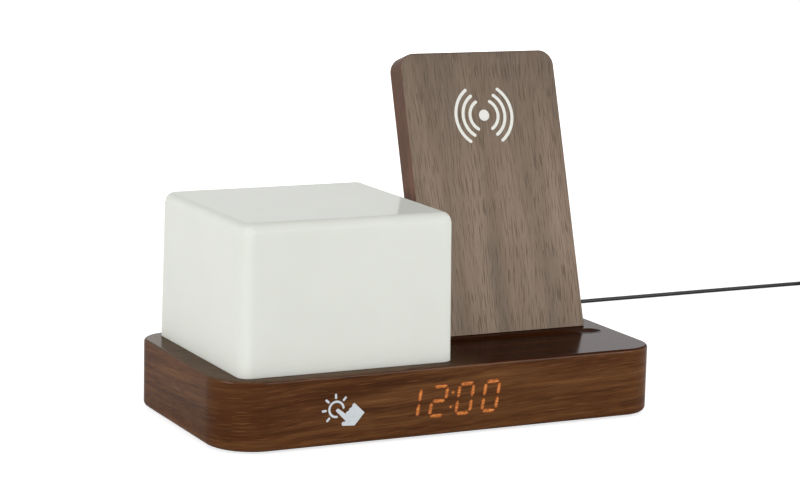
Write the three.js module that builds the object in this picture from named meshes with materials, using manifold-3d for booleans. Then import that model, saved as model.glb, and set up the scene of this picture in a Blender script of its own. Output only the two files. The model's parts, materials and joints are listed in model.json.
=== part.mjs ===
// A bedside clock: a walnut base with a seven-segment display behind its front wall, an opal night
// lamp, a leaning charging stand for a telephone, and a captive power lead wound into a coil.
// Millimetres. +X is to the right along the front, +Y to the rear, +Z up. The origin is on the
// table, under the middle of the base.
import * as THREE from "three";
import { mergeVertices } from "three/addons/utils/BufferGeometryUtils.js";
import Module from "manifold-3d";

const wasm = await Module();
wasm.setup();

// Fits and working values
const FIT = 0.3;
const OVERRUN = 1;
const WELD = 1e-4;
const ARC_STEPS = 3;
const EDGE_STEPS = 3;
const ROUND_SIDES = 16;
const SMALL_SIDES = 8;
const SCREW_SIDES = 10;
const GROOVE_SIDES = 64;
const QUARTER_TURN = Math.PI / 2;
const FULL_TURN = 2 * Math.PI;

// Base housing
const BASE_WIDTH = 200;
const BASE_DEPTH = 100;
const BASE_HEIGHT = 29;
const BASE_CORNER = 14;
const BASE_CORNER_BY_LAMP = 20;
const BASE_TOP_EDGE = 1.3;
const BASE_BOTTOM_EDGE = 2.2;
const BASE_WALL = 2.5;
const BASE_ROOF = 2.5;

// Dished groove in the base's roof, in front of the stand, that holds a telephone's lower edge
const PHONE_GROOVE_LENGTH = 80;
const PHONE_GROOVE_WIDTH = 10.4;
const PHONE_GROOVE_DEPTH = 1.2;
const PHONE_GROOVE_TO_STAND = 4.6;

// Feet and bottom cover
const FOOT_DIAMETER = 12;
const FOOT_THICKNESS = 2;
const FOOT_PROUD = 1;
const FOOT_INSET_X = 19;
const FOOT_INSET_Y = 19;
const COVER_RECESS = 0.5;
const COVER_THICKNESS = 2.4;
const COVER_RIB_WIDTH = 1.6;
const COVER_RIB_HEIGHT = 3;
const COVER_RIB_SPACING = 30;
const SOUND_HOLE_DIAMETER = 1.8;
const SOUND_HOLE_PITCH = 3.6;

// Screws that hold the bottom cover, the boards and the stand
const SCREW_DIAMETER = 2.4;
const SCREW_HEAD_DIAMETER = 5;
const SCREW_HEAD_THICKNESS = 1.2;
const SCREW_SLOT = 0.7;
const SCREW_LENGTH = 10;
const SHORT_SCREW_LENGTH = 5;
const BOSS_DIAMETER = 7;
const BOSS_INSET_X = 30;
const BOSS_INSET_Y = 18;
const POST_DIAMETER = 6;

// Night lamp
const SHADE_HEIGHT = 61.5;
const SHADE_FROM_LEFT = 9.5;
const SHADE_TO_STAND = 10.7;
const SHADE_FROM_FRONT = 6;
const SHADE_FROM_REAR = 3;
const SHADE_DRAFT_DEG = 0.8;
const SHADE_WALL = 2.2;
const SHADE_CORNER = 5;
const SHADE_TOP_EDGE = 4.2;
const SHADE_TOP_CORNER = 1.2;
const RIM_WALL = 1.6;
const RIM_HEIGHT = 4;
const LAMP_BOARD_MARGIN = 9.5;
const LAMP_BOARD_CORNER = 3;
const LAMP_POST_HEIGHT = 2.5;
const LAMP_WIRE_HOLE = 7;
const LED_SIZE = 5;
const LED_HEIGHT = 1.6;
const LED_LENS = 3.6;
const LED_DISH = 0.5;
const LED_INSET_X = 13;
const LED_INSET_Y = 18;

// Charging stand
const STAND_WIDTH = 76;
const STAND_LENGTH = 124;
const STAND_THICKNESS = 11.3;
const STAND_TILT_DEG = 17.5;
const STAND_FROM_RIGHT = 8.8;
const STAND_FROM_FRONT = 48;
const STAND_CORNER = 7;
const STAND_EDGE = 0.8;
const STAND_WALL = 2.5;
const STAND_SKIN = 1.8;
const STAND_FOOT = 6;
const STAND_SHOULDER = 1.5;
const STAND_FLOOR = 2.1;
const STAND_CAVITY_CORNER = 4.5;
const STAND_POST_INSET = 8;
const REAR_COVER_THICKNESS = 2;
const SOCKET_WALL = 2;
const SOCKET_FLOOR = 2.2;
const STAND_SCREW_SPACING = 48;
const STAND_LEAD_DIAMETER = 2.4;
const STAND_LEAD_HOLE = 5;
const COIL_HEIGHT = 78;
const COIL_OUTER_DIAMETER = 44;
const COIL_INNER_DIAMETER = 20;
const COIL_THICKNESS = 1.2;
const COIL_GROOVE = 0.8;
const FERRITE_SIZE = 52;
const FERRITE_CORNER = 5;
const FERRITE_THICKNESS = 0.8;
const CHARGER_BOARD_WIDTH = 46;
const CHARGER_BOARD_HEIGHT = 30;
const CHARGER_BOARD_FROM_BLOCK = 3;

// Boards
const BOARD_THICKNESS = 1.6;
const MAIN_BOARD_WIDTH = 68;
const MAIN_BOARD_DEPTH = 56;
const MAIN_BOARD_CENTRE_X = -26;
const MAIN_BOARD_HEIGHT = 5;
const MAIN_POST_INSET = 5;
const CHIP_WIDTH = 10;
const CHIP_DEPTH = 8;
const CHIP_HEIGHT = 1.5;
const SOCKET_STRIP_WIDTH = 14;
const SOCKET_STRIP_DEPTH = 5;
const SOCKET_STRIP_HEIGHT = 6;
const CAPACITOR_DIAMETER = 6;
const CAPACITOR_HEIGHT = 9;
const BUZZER_DIAMETER = 12;
const BUZZER_HEIGHT = 6;
const BUZZER_HOLE = 2;
const CELL_DIAMETER = 20;
const CELL_THICKNESS = 3.2;
const CELL_STEP = 0.8;
const HOLDER_WALL = 1.2;
const HOLDER_FLOOR = 1;

// Display
const DIGIT_HEIGHT = 12.4;
const DIGIT_WIDTH = 6.2;
const DIGIT_PITCH = 12.1;
const DIGIT_SLANT_DEG = 8.6;
const STROKE = 1.5;
const STROKE_GAP = 0.35;
const COLON_SPREAD = 6;
const DISPLAY_CENTRE_X = 0.5;
const DISPLAY_CENTRE_HEIGHT = 14.6;
const DISPLAY_WINDOW_SKIN = 0.9;
const DISPLAY_MARGIN = 3;
const DISPLAY_MASK_THICKNESS = 5;
const DISPLAY_BOARD_LEFT = -66;
const DISPLAY_BOARD_RIGHT = 46;
const DISPLAY_BOARD_HEIGHT = 20;
const DISPLAY_POST_INSET = 5;

// Touch key of the lamp
const TOUCH_FROM_BOARD_END = 20;
const TOUCH_WIDTH = 22;
const TOUCH_HEIGHT = 16;
const TOUCH_CORNER = 3;
const TOUCH_FOIL = 0.4;
const TOUCH_FOAM_WIDTH = 16;
const TOUCH_FOAM_HEIGHT = 9;

// Setting buttons in the rear wall
const BUTTON_NAMES = ["set", "up", "down"];
const BUTTON_FIRST_X = -52;
const BUTTON_PITCH = 14;
const BUTTON_HEIGHT = 14;
const BUTTON_DIAMETER = 7;
const BUTTON_PROUD = 1;
const BUTTON_TRAVEL = 0.5;
const BUTTON_CLEARANCE = 0.25;
const BUTTON_FLANGE_DIAMETER = 9.4;
const BUTTON_FLANGE = 1;
const BUTTON_STEM_DIAMETER = 3;
const BUTTON_STEM = 1.6;
const BUTTON_DISH = 0.3;
const RECESS_DEPTH = 1.2;
const RECESS_MARGIN = 5;
const RECESS_HEIGHT = 12;
const SWITCH_SIZE = 6;
const SWITCH_BODY = 3.5;
const SWITCH_PLUNGER = 1;
const SWITCH_PLUNGER_DIAMETER = 3.4;
const BUTTON_BOARD_HEIGHT = 15;
const BUTTON_BOARD_MARGIN = 14;

// Power lead, its strain relief and its plug
const LEAD_DIAMETER = 2.1;
const LEAD_EXIT_X = 53;
const LEAD_EXIT_HEIGHT = 9;
const LEAD_SIDES = 8;
const LEAD_STEP_DIAMETERS = 2.7;
const RELIEF_LENGTH = 10;
const RELIEF_ROOT_DIAMETER = 5;
const RELIEF_TIP_DIAMETER = 3.4;
const RELIEF_GROOVE = 0.45;
const RELIEF_GROOVES = 3;
const RELIEF_FLANGE_DIAMETER = 8.5;
const RELIEF_FLANGE = 1.4;
const COIL_TURN_GAP = 0.5;
const COIL_MEAN_DIAMETER = 24.8;
const COIL_LAYERS = 4;
const COIL_TURNS_PER_LAYER = 3;
const COIL_STEPS_PER_TURN = 24;
const COIL_SIDES = 6;
const COIL_CENTRE_X = 352;
const LEAD_END_Y = 170.6;
const PLUG_WIDTH = 15.5;
const PLUG_HEIGHT = 8;
const PLUG_BODY_LENGTH = 22;
const PLUG_CORNER = 2;
const PLUG_EDGE = 1.4;
const PLUG_BOOT_LENGTH = 8;
const PLUG_BOOT_DIAMETER = 5.4;
const PLUG_BOOT_TIP_DIAMETER = 3.4;
const PLUG_SHELL_WIDTH = 12;
const PLUG_SHELL_HEIGHT = 4.5;
const PLUG_SHELL_LENGTH = 16;
const PLUG_SHELL_WALL = 0.4;
const PLUG_SHELL_CORNER = 0.5;
const PLUG_SOCKET_DEPTH = 3;
const PLUG_WINDOW = 2.2;
const PLUG_WINDOW_SPACING = 5;
const PLUG_WINDOW_FROM_MOUTH = 7;
const PLUG_TONGUE_THICKNESS = 1.6;
const PLUG_DESCENT = 22;

// The free stretch of the power lead, from the strain relief over the table to the coil: x, y, z
const LEAD_ROUTE = [
  [53, 66, 8.9],
  [53.3, 73, 7.5],
  [54, 80.5, 4.9],
  [55.3, 88, 2.5],
  [57.5, 96, 1.2],
  [61, 105, 1.05],
  [66.5, 115, 1.05],
  [74.5, 125.5, 1.05],
  [85.5, 136, 1.05],
  [99.5, 145.5, 1.05],
  [116, 153.5, 1.05],
  [134, 159.8, 1.05],
  [153, 164.3, 1.05],
  [173, 167, 1.05],
  [193, 168.3, 1.05],
  [219, 168.9, 1.05],
  [245, 169.4, 1.05],
  [271, 169.9, 1.05],
  [298, 170.3, 1.05],
  [324, 170.6, 1.05],
];

// Heights, centres and faces that follow from the sizes
const BASE_BOTTOM = FOOT_PROUD;
const BASE_TOP = BASE_BOTTOM + BASE_HEIGHT;
const ROOF_UNDERSIDE = BASE_TOP - BASE_ROOF;
const COVER_BOTTOM = BASE_BOTTOM + COVER_RECESS;
const COVER_TOP = COVER_BOTTOM + COVER_THICKNESS;
const COVER_INSET = BASE_WALL + FIT;
const FRONT_INSIDE = -BASE_DEPTH / 2 + BASE_WALL;
const REAR_INSIDE = BASE_DEPTH / 2 - BASE_WALL;
const SCREW_HOLE_DIAMETER = SCREW_DIAMETER + 2 * FIT;
const SHADE_WIDTH = BASE_WIDTH - SHADE_FROM_LEFT - SHADE_TO_STAND - STAND_WIDTH - STAND_FROM_RIGHT;
const SHADE_DEPTH = BASE_DEPTH - SHADE_FROM_FRONT - SHADE_FROM_REAR;
const SHADE_X = -BASE_WIDTH / 2 + SHADE_FROM_LEFT + SHADE_WIDTH / 2;
const SHADE_Y = -BASE_DEPTH / 2 + SHADE_FROM_FRONT + SHADE_DEPTH / 2;
const LAMP_BOARD_WIDTH = SHADE_WIDTH - 2 * LAMP_BOARD_MARGIN;
const LAMP_BOARD_DEPTH = SHADE_DEPTH - 2 * LAMP_BOARD_MARGIN;
const LAMP_BOARD_BOTTOM = BASE_TOP + LAMP_POST_HEIGHT + FIT;
const LAMP_BOARD_TOP = LAMP_BOARD_BOTTOM + BOARD_THICKNESS;
const LAMP_SCREW_X = LAMP_BOARD_WIDTH / 2 - POST_DIAMETER;
const LED_X = LAMP_BOARD_WIDTH / 2 - LED_INSET_X;
const LED_Y = LAMP_BOARD_DEPTH / 2 - LED_INSET_Y;
const STAND_X = BASE_WIDTH / 2 - STAND_FROM_RIGHT - STAND_WIDTH / 2;
const STAND_Y = -BASE_DEPTH / 2 + STAND_FROM_FRONT;
const STAND_MID = STAND_THICKNESS / 2;
const STAND_TILT = (STAND_TILT_DEG * FULL_TURN) / 360;
const STAND_RISE = (FIT + STAND_THICKNESS * Math.sin(STAND_TILT)) / Math.cos(STAND_TILT);
const STAND_BLOCK = STAND_RISE + STAND_FLOOR;
const FOOT_WIDTH = STAND_WIDTH - 2 * STAND_SHOULDER;
const FOOT_DEPTH = STAND_THICKNESS - 2 * STAND_SHOULDER;
const STAND_CAVITY_WIDTH = STAND_WIDTH - 2 * STAND_WALL;
const REAR_COVER_FRONT = STAND_THICKNESS - REAR_COVER_THICKNESS;
const STAND_POST_X = STAND_WIDTH / 2 - STAND_POST_INSET;
const STAND_POST_LOW = STAND_BLOCK + STAND_POST_INSET - STAND_WALL;
const STAND_POST_HIGH = STAND_LENGTH - STAND_POST_INSET;
const PHONE_GROOVE_RADIUS = (PHONE_GROOVE_WIDTH ** 2 / 4 + PHONE_GROOVE_DEPTH ** 2) / (2 * PHONE_GROOVE_DEPTH);
const PHONE_GROOVE_Y = STAND_Y - PHONE_GROOVE_TO_STAND - PHONE_GROOVE_WIDTH / 2;
const SOCKET_BOTTOM = -STAND_FOOT - FIT - SOCKET_FLOOR;
const CHARGER_BOARD_LOW = STAND_BLOCK + CHARGER_BOARD_FROM_BLOCK;
const MAIN_BOARD_BOTTOM = COVER_TOP + MAIN_BOARD_HEIGHT;
const MAIN_BOARD_TOP = MAIN_BOARD_BOTTOM + BOARD_THICKNESS;
const DISPLAY_CENTRE_Z = BASE_BOTTOM + DISPLAY_CENTRE_HEIGHT;
const DISPLAY_WIDTH = 3 * DIGIT_PITCH + DIGIT_WIDTH + STROKE + 2 * DISPLAY_MARGIN;
const DISPLAY_DEPTH = DIGIT_HEIGHT + STROKE + DISPLAY_MARGIN;
const WINDOW_INSIDE = -BASE_DEPTH / 2 + DISPLAY_WINDOW_SKIN;
const MASK_FRONT = WINDOW_INSIDE + FIT;
const DISPLAY_BOARD_FRONT = MASK_FRONT + DISPLAY_MASK_THICKNESS + FIT;
const TOUCH_CENTRE_X = DISPLAY_BOARD_LEFT + TOUCH_FROM_BOARD_END;
const TOUCH_FRONT = FRONT_INSIDE + FIT;
const BUTTON_Z = BASE_BOTTOM + BUTTON_HEIGHT;
const RECESS_FLOOR = BASE_DEPTH / 2 - RECESS_DEPTH;
const BUTTON_FACE = RECESS_FLOOR + BUTTON_PROUD;
const BUTTON_FLANGE_FACE = REAR_INSIDE - BUTTON_CLEARANCE;
const BUTTON_STEM_TIP = BUTTON_FLANGE_FACE - BUTTON_FLANGE - BUTTON_STEM;
const SWITCH_TIP = BUTTON_STEM_TIP - BUTTON_TRAVEL - FIT;
const BUTTON_BOARD_REAR = SWITCH_TIP - SWITCH_PLUNGER - SWITCH_BODY - FIT;
const BUTTON_MID_X = BUTTON_FIRST_X + (BUTTON_PITCH * (BUTTON_NAMES.length - 1)) / 2;
const BUTTON_ROW = BUTTON_PITCH * (BUTTON_NAMES.length - 1);
const RELIEF_TIP_Y = BASE_DEPTH / 2 + RELIEF_LENGTH;
const COIL_PITCH = LEAD_DIAMETER + COIL_TURN_GAP;
const COIL_INNER_RADIUS = (COIL_MEAN_DIAMETER - COIL_PITCH * COIL_TURNS_PER_LAYER) / 2;
const COIL_OUTER_RADIUS = (COIL_MEAN_DIAMETER + COIL_PITCH * COIL_TURNS_PER_LAYER) / 2;
const COIL_CENTRE_Y = LEAD_END_Y - COIL_OUTER_RADIUS;
const COIL_TURNS = COIL_LAYERS * COIL_TURNS_PER_LAYER + 1 / 4;
const PLUG_X = COIL_CENTRE_X + COIL_OUTER_RADIUS + COIL_PITCH / 4;
const PLUG_BOOT_Y = COIL_CENTRE_Y - PLUG_DESCENT - LEAD_DIAMETER - FIT;
const PLUG_BODY_Y = PLUG_BOOT_Y - PLUG_BOOT_LENGTH;
const PLUG_FACE_Y = PLUG_BODY_Y - PLUG_BODY_LENGTH;

// Materials
const finish = (color, roughness, metalness = 0) =>
  new THREE.MeshStandardMaterial({ color, roughness, metalness });
const WALNUT = () => finish(0x5c3018, 0.3);
const GREY_WALNUT = () => finish(0x81705f, 0.6);
const OPAL = () => finish(0xdfe0d8, 0.35);
const BLACK_PLASTIC = () => finish(0x1c1b1a, 0.5);
const WHITE_PLASTIC = () => finish(0xe8e8e4, 0.5);
const RUBBER = () => finish(0x242322, 0.85);
const STEEL = () => finish(0xb8babd, 0.35, 0.9);
const COPPER = () => finish(0xb8703a, 0.4, 0.9);
const FERRITE = () => finish(0x3a3a3c, 0.8);
const BOARD_GREEN = () => finish(0x1f5a38, 0.5);
const LED_YELLOW = () => finish(0xe8d070, 0.4);
const LEAD_BLACK = () => finish(0x222222, 0.45);

// A closed geometry as a solid that can be joined and cut
function solid(geometry) {
  const loose = geometry.index ? geometry.toNonIndexed() : geometry;
  const bare = new THREE.BufferGeometry();
  bare.setAttribute("position", loose.getAttribute("position"));
  const merged = mergeVertices(bare, WELD);
  const mesh = new wasm.Mesh({
    numProp: 3,
    vertProperties: merged.attributes.position.array,
    triVerts: new Uint32Array(merged.index.array),
  });
  return new wasm.Manifold(mesh);
}

// A solid as a geometry again
function geometryOf(body) {
  const mesh = body.getMesh();
  const stride = mesh.numProp;
  const places = new Float32Array(mesh.numVert * 3);
  for (let i = 0; i < mesh.numVert; i++) {
    places.set(mesh.vertProperties.subarray(i * stride, i * stride + 3), i * 3);
  }
  const geometry = new THREE.BufferGeometry();
  geometry.setAttribute("position", new THREE.BufferAttribute(places, 3));
  geometry.setIndex(new THREE.BufferAttribute(new Uint32Array(mesh.triVerts), 1));
  geometry.computeVertexNormals();
  return geometry;
}

function cut(body, ...tools) {
  return tools.reduce((left, tool) => left.subtract(tool), body);
}

function join(body, ...others) {
  return others.reduce((whole, other) => whole.add(other), body);
}

// A rectangle about the origin whose corners are round; the corners run front left, front right,
// rear right, rear left
function roundedOutline(width, depth, corners) {
  const [frontLeft, frontRight, rearRight, rearLeft] = corners;
  const x = width / 2;
  const y = depth / 2;
  const outline = new THREE.Shape();
  outline.moveTo(-x + frontLeft, -y);
  outline.absarc(x - frontRight, -y + frontRight, frontRight, -QUARTER_TURN, 0);
  outline.absarc(x - rearRight, y - rearRight, rearRight, 0, QUARTER_TURN);
  outline.absarc(-x + rearLeft, y - rearLeft, rearLeft, QUARTER_TURN, 2 * QUARTER_TURN);
  outline.absarc(-x + frontLeft, -y + frontLeft, frontLeft, 2 * QUARTER_TURN, 3 * QUARTER_TURN);
  return outline;
}

function evenOutline(width, depth, corner) {
  return roundedOutline(width, depth, [corner, corner, corner, corner]);
}

// An outline in X and Y raised from low to high, with both rims rounded by edge
function slab(outline, low, high, edge = 0) {
  const geometry = new THREE.ExtrudeGeometry(outline, {
    depth: high - low - 2 * edge,
    curveSegments: ARC_STEPS,
    bevelEnabled: edge > 0,
    bevelThickness: edge,
    bevelSize: edge,
    bevelOffset: -edge,
    bevelSegments: EDGE_STEPS,
  });
  return geometry.translate(0, 0, low + edge);
}

// The same outline stood upright: its Y becomes Z, and it runs from front to rear along Y
function upright(outline, front, rear, edge = 0) {
  return slab(outline, -rear, -front, edge).rotateX(QUARTER_TURN);
}

function block(width, depth, height, x, y, z) {
  return new THREE.BoxGeometry(width, depth, height).translate(x, y, z + height / 2);
}

// A round bar along Z
function post(diameter, low, high, x, y, sides = ROUND_SIDES) {
  const bar = new THREE.CylinderGeometry(diameter / 2, diameter / 2, high - low, sides);
  return bar.rotateX(QUARTER_TURN).translate(x, y, (low + high) / 2);
}

// A round bar along Y
function pin(diameter, front, rear, x, z, sides = ROUND_SIDES) {
  const bar = new THREE.CylinderGeometry(diameter / 2, diameter / 2, rear - front, sides);
  return bar.translate(x, (front + rear) / 2, z);
}

// The hole that a screw runs through, along Z or along Y
function screwHoleUp(low, high, x, y) {
  return solid(post(SCREW_HOLE_DIAMETER, low, high, x, y, SMALL_SIDES));
}

function screwHoleBack(front, rear, x, z) {
  return solid(pin(SCREW_HOLE_DIAMETER, front, rear, x, z, SMALL_SIDES));
}

function part(name, body, material) {
  const mesh = new THREE.Mesh(body.isBufferGeometry ? body : geometryOf(body), material);
  mesh.name = name;
  return mesh;
}

// A pan-head screw with its head's top on z = 0, pointing down, with a driving slot
function screwGeometry(length) {
  const head = SCREW_HEAD_DIAMETER / 2;
  const shank = SCREW_DIAMETER / 2;
  const profile = [
    new THREE.Vector2(0, -length),
    new THREE.Vector2(shank / 2, -length),
    new THREE.Vector2(shank, -length + shank),
    new THREE.Vector2(shank, -SCREW_HEAD_THICKNESS),
    new THREE.Vector2(head, -SCREW_HEAD_THICKNESS),
    new THREE.Vector2(head, -SCREW_HEAD_THICKNESS / 3),
    new THREE.Vector2(head - SCREW_HEAD_THICKNESS / 3, 0),
    new THREE.Vector2(0, 0),
  ];
  const turned = new THREE.LatheGeometry(profile, SCREW_SIDES).rotateX(QUARTER_TURN);
  const slotDepth = SCREW_HEAD_THICKNESS / 2;
  const slot = block(2 * SCREW_HEAD_DIAMETER, SCREW_SLOT, SCREW_HEAD_THICKNESS, 0, 0, -slotDepth);
  return geometryOf(cut(solid(turned), solid(slot)));
}

function screw(name, length, x, y, z) {
  const mesh = part(name, screwGeometry(length), STEEL());
  mesh.position.set(x, y, z);
  return mesh;
}

// Places that pieces share
function baseOutline(inset) {
  const corner = BASE_CORNER - inset;
  const byLamp = BASE_CORNER_BY_LAMP - inset;
  return roundedOutline(BASE_WIDTH - 2 * inset, BASE_DEPTH - 2 * inset, [byLamp, corner, corner, corner]);
}

function corners(x, y) {
  return [
    ["front_left", -x, -y],
    ["front_right", x, -y],
    ["rear_left", -x, y],
    ["rear_right", x, y],
  ];
}

const bossPlaces = corners(BASE_WIDTH / 2 - BOSS_INSET_X, BASE_DEPTH / 2 - BOSS_INSET_Y);
const footPlaces = corners(BASE_WIDTH / 2 - FOOT_INSET_X, BASE_DEPTH / 2 - FOOT_INSET_Y);
const mainPostPlaces = [-1, 1].map((side) => [
  MAIN_BOARD_CENTRE_X + side * (MAIN_BOARD_WIDTH / 2 - MAIN_POST_INSET),
  side * (MAIN_BOARD_DEPTH / 2 - MAIN_POST_INSET),
]);
const displayPostPlaces = [
  DISPLAY_BOARD_LEFT + DISPLAY_POST_INSET,
  DISPLAY_BOARD_RIGHT - DISPLAY_POST_INSET,
];
const buttonPlaces = BUTTON_NAMES.map((name, i) => [name, BUTTON_FIRST_X + i * BUTTON_PITCH]);
const buttonPostPlaces = [-1, 1].map(
  (side) => BUTTON_MID_X + side * (BUTTON_ROW / 2 + BUTTON_BOARD_MARGIN - POST_DIAMETER / 2 - FIT),
);
const lampScrewPlaces = [-LAMP_SCREW_X, LAMP_SCREW_X];
const standPostPlaces = [
  ["low_left", -STAND_POST_X, STAND_POST_LOW],
  ["low_right", STAND_POST_X, STAND_POST_LOW],
  ["top_left", -STAND_POST_X, STAND_POST_HIGH],
  ["top_right", STAND_POST_X, STAND_POST_HIGH],
];

// The stand's own frame: X along its width, Y through its thickness, Z up its slope
const standFrame = new THREE.Object3D();
standFrame.position.set(STAND_X, STAND_Y, BASE_TOP);
standFrame.rotation.x = -STAND_TILT;
standFrame.updateMatrix();

// Base housing
function standSocketBlock(grow, low) {
  const width = FOOT_WIDTH + 2 * grow;
  const depth = FOOT_DEPTH + 2 * grow;
  const height = STAND_LENGTH / 4;
  return solid(block(width, depth, height, 0, STAND_MID, low).applyMatrix4(standFrame.matrix));
}

function lampRim() {
  const width = SHADE_WIDTH - 2 * (SHADE_WALL + FIT);
  const depth = SHADE_DEPTH - 2 * (SHADE_WALL + FIT);
  const corner = SHADE_CORNER - SHADE_WALL;
  const low = BASE_TOP - BASE_ROOF / 2;
  const high = BASE_TOP + RIM_HEIGHT;
  const ring = solid(slab(evenOutline(width, depth, corner), low, high));
  const inner = evenOutline(width - 2 * RIM_WALL, depth - 2 * RIM_WALL, corner - RIM_WALL / 2);
  return cut(ring, solid(slab(inner, low - OVERRUN, high + OVERRUN))).translate(SHADE_X, SHADE_Y, 0);
}

function lampPosts() {
  return lampScrewPlaces.map((x) =>
    solid(post(POST_DIAMETER, ROOF_UNDERSIDE, BASE_TOP + LAMP_POST_HEIGHT, SHADE_X + x, SHADE_Y)),
  );
}

// The outside of the base, with its own round at the top edge and at the bottom edge
function baseForm() {
  const below = BASE_BOTTOM - 2 * BASE_TOP_EDGE;
  const above = BASE_TOP + 2 * BASE_BOTTOM_EDGE;
  const roundedAbove = solid(slab(baseOutline(0), below, BASE_TOP, BASE_TOP_EDGE));
  return roundedAbove.intersect(solid(slab(baseOutline(0), BASE_BOTTOM, above, BASE_BOTTOM_EDGE)));
}

// A long bar with round ends that dips into the roof: what it cuts is the telephone's groove
function phoneGroove() {
  const straight = PHONE_GROOVE_LENGTH - PHONE_GROOVE_WIDTH;
  const bar = new THREE.CapsuleGeometry(PHONE_GROOVE_RADIUS, straight, GROOVE_SIDES / 4, GROOVE_SIDES);
  const height = BASE_TOP - PHONE_GROOVE_DEPTH + PHONE_GROOVE_RADIUS;
  return bar.rotateZ(QUARTER_TURN).translate(STAND_X, PHONE_GROOVE_Y, height);
}

function baseShell() {
  const inside = solid(slab(baseOutline(BASE_WALL), BASE_BOTTOM - OVERRUN, ROOF_UNDERSIDE));
  const under = solid(slab(baseOutline(BASE_WALL / 2), BASE_BOTTOM, BASE_TOP - BASE_ROOF / 2));
  const socket = standSocketBlock(FIT + SOCKET_WALL, SOCKET_BOTTOM).intersect(under);
  let shell = join(cut(baseForm(), inside), socket, lampRim(), ...lampPosts());
  for (const [, x, y] of bossPlaces) {
    const low = COVER_TOP + FIT;
    const bore = screwHoleUp(low - OVERRUN, COVER_BOTTOM + SCREW_LENGTH + FIT, x, y);
    shell = join(shell, solid(post(BOSS_DIAMETER, low, ROOF_UNDERSIDE + BASE_ROOF / 2, x, y)));
    shell = cut(shell, bore);
  }
  for (const x of displayPostPlaces) {
    const rear = DISPLAY_BOARD_FRONT - FIT;
    const bore = screwHoleBack(FRONT_INSIDE, rear + OVERRUN, x, DISPLAY_CENTRE_Z);
    shell = join(shell, solid(pin(POST_DIAMETER, FRONT_INSIDE - BASE_WALL / 2, rear, x, DISPLAY_CENTRE_Z)));
    shell = cut(shell, bore);
  }
  for (const x of buttonPostPlaces) {
    const front = BUTTON_BOARD_REAR + FIT;
    const bore = screwHoleBack(front - OVERRUN, REAR_INSIDE, x, BUTTON_Z);
    shell = join(shell, solid(pin(POST_DIAMETER, front, REAR_INSIDE + BASE_WALL / 2, x, BUTTON_Z)));
    shell = cut(shell, bore);
  }
  for (const x of lampScrewPlaces) {
    const low = BASE_TOP + LAMP_POST_HEIGHT - SHORT_SCREW_LENGTH;
    const high = BASE_TOP + LAMP_POST_HEIGHT + OVERRUN;
    shell = cut(shell, screwHoleUp(low, high, SHADE_X + x, SHADE_Y));
  }
  return cut(shell, ...baseOpenings());
}

// What is cut out of the base's walls and roof
function baseOpenings() {
  const slot = standSocketBlock(FIT, -STAND_FOOT - FIT);
  const screwHole = STAND_SCREW_SPACING / 2;
  const low = SOCKET_BOTTOM - OVERRUN;
  const holes = [
    post(SCREW_HOLE_DIAMETER, low, 0, -screwHole, STAND_MID, SMALL_SIDES),
    post(SCREW_HOLE_DIAMETER, low, 0, screwHole, STAND_MID, SMALL_SIDES),
    post(STAND_LEAD_HOLE, low, 0, 0, STAND_MID, SMALL_SIDES),
  ].map((hole) => solid(hole.applyMatrix4(standFrame.matrix)));
  const window = evenOutline(DISPLAY_WIDTH + 2 * FIT, DISPLAY_DEPTH + 2 * FIT, STROKE);
  const windowCut = upright(window, WINDOW_INSIDE, FRONT_INSIDE + OVERRUN);
  windowCut.translate(DISPLAY_CENTRE_X, 0, DISPLAY_CENTRE_Z);
  const recess = evenOutline(
    BUTTON_ROW + BUTTON_DIAMETER + 2 * RECESS_MARGIN,
    RECESS_HEIGHT,
    RECESS_HEIGHT / 2 - FIT,
  );
  const recessCut = upright(recess, RECESS_FLOOR, BASE_DEPTH / 2 + OVERRUN);
  recessCut.translate(BUTTON_MID_X, 0, BUTTON_Z);
  const buttonHole = BUTTON_DIAMETER + 2 * BUTTON_CLEARANCE;
  const buttonHoles = buttonPlaces.map(([, x]) =>
    solid(pin(buttonHole, REAR_INSIDE - OVERRUN, RECESS_FLOOR + OVERRUN, x, BUTTON_Z)),
  );
  const leadHole = RELIEF_ROOT_DIAMETER + 2 * FIT;
  const outside = BASE_DEPTH / 2 + OVERRUN;
  const leadCut = pin(leadHole, REAR_INSIDE - OVERRUN, outside, LEAD_EXIT_X, LEAD_EXIT_HEIGHT);
  const wireCut = post(LAMP_WIRE_HOLE, ROOF_UNDERSIDE - OVERRUN, BASE_TOP + OVERRUN, SHADE_X, SHADE_Y);
  const plainCuts = [windowCut, recessCut, leadCut, wireCut, phoneGroove()].map(solid);
  return [slot, ...holes, ...buttonHoles, ...plainCuts];
}

function soundHoles() {
  const [x, y] = [MAIN_BOARD_CENTRE_X, 0];
  const places = [[x, y]];
  for (let i = 0; i < 6; i++) {
    const turn = (i * FULL_TURN) / 6;
    places.push([x + SOUND_HOLE_PITCH * Math.cos(turn), y + SOUND_HOLE_PITCH * Math.sin(turn)]);
  }
  return places.map(([hx, hy]) =>
    solid(post(SOUND_HOLE_DIAMETER, COVER_BOTTOM - OVERRUN, COVER_TOP + OVERRUN, hx, hy, SMALL_SIDES)),
  );
}

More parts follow.
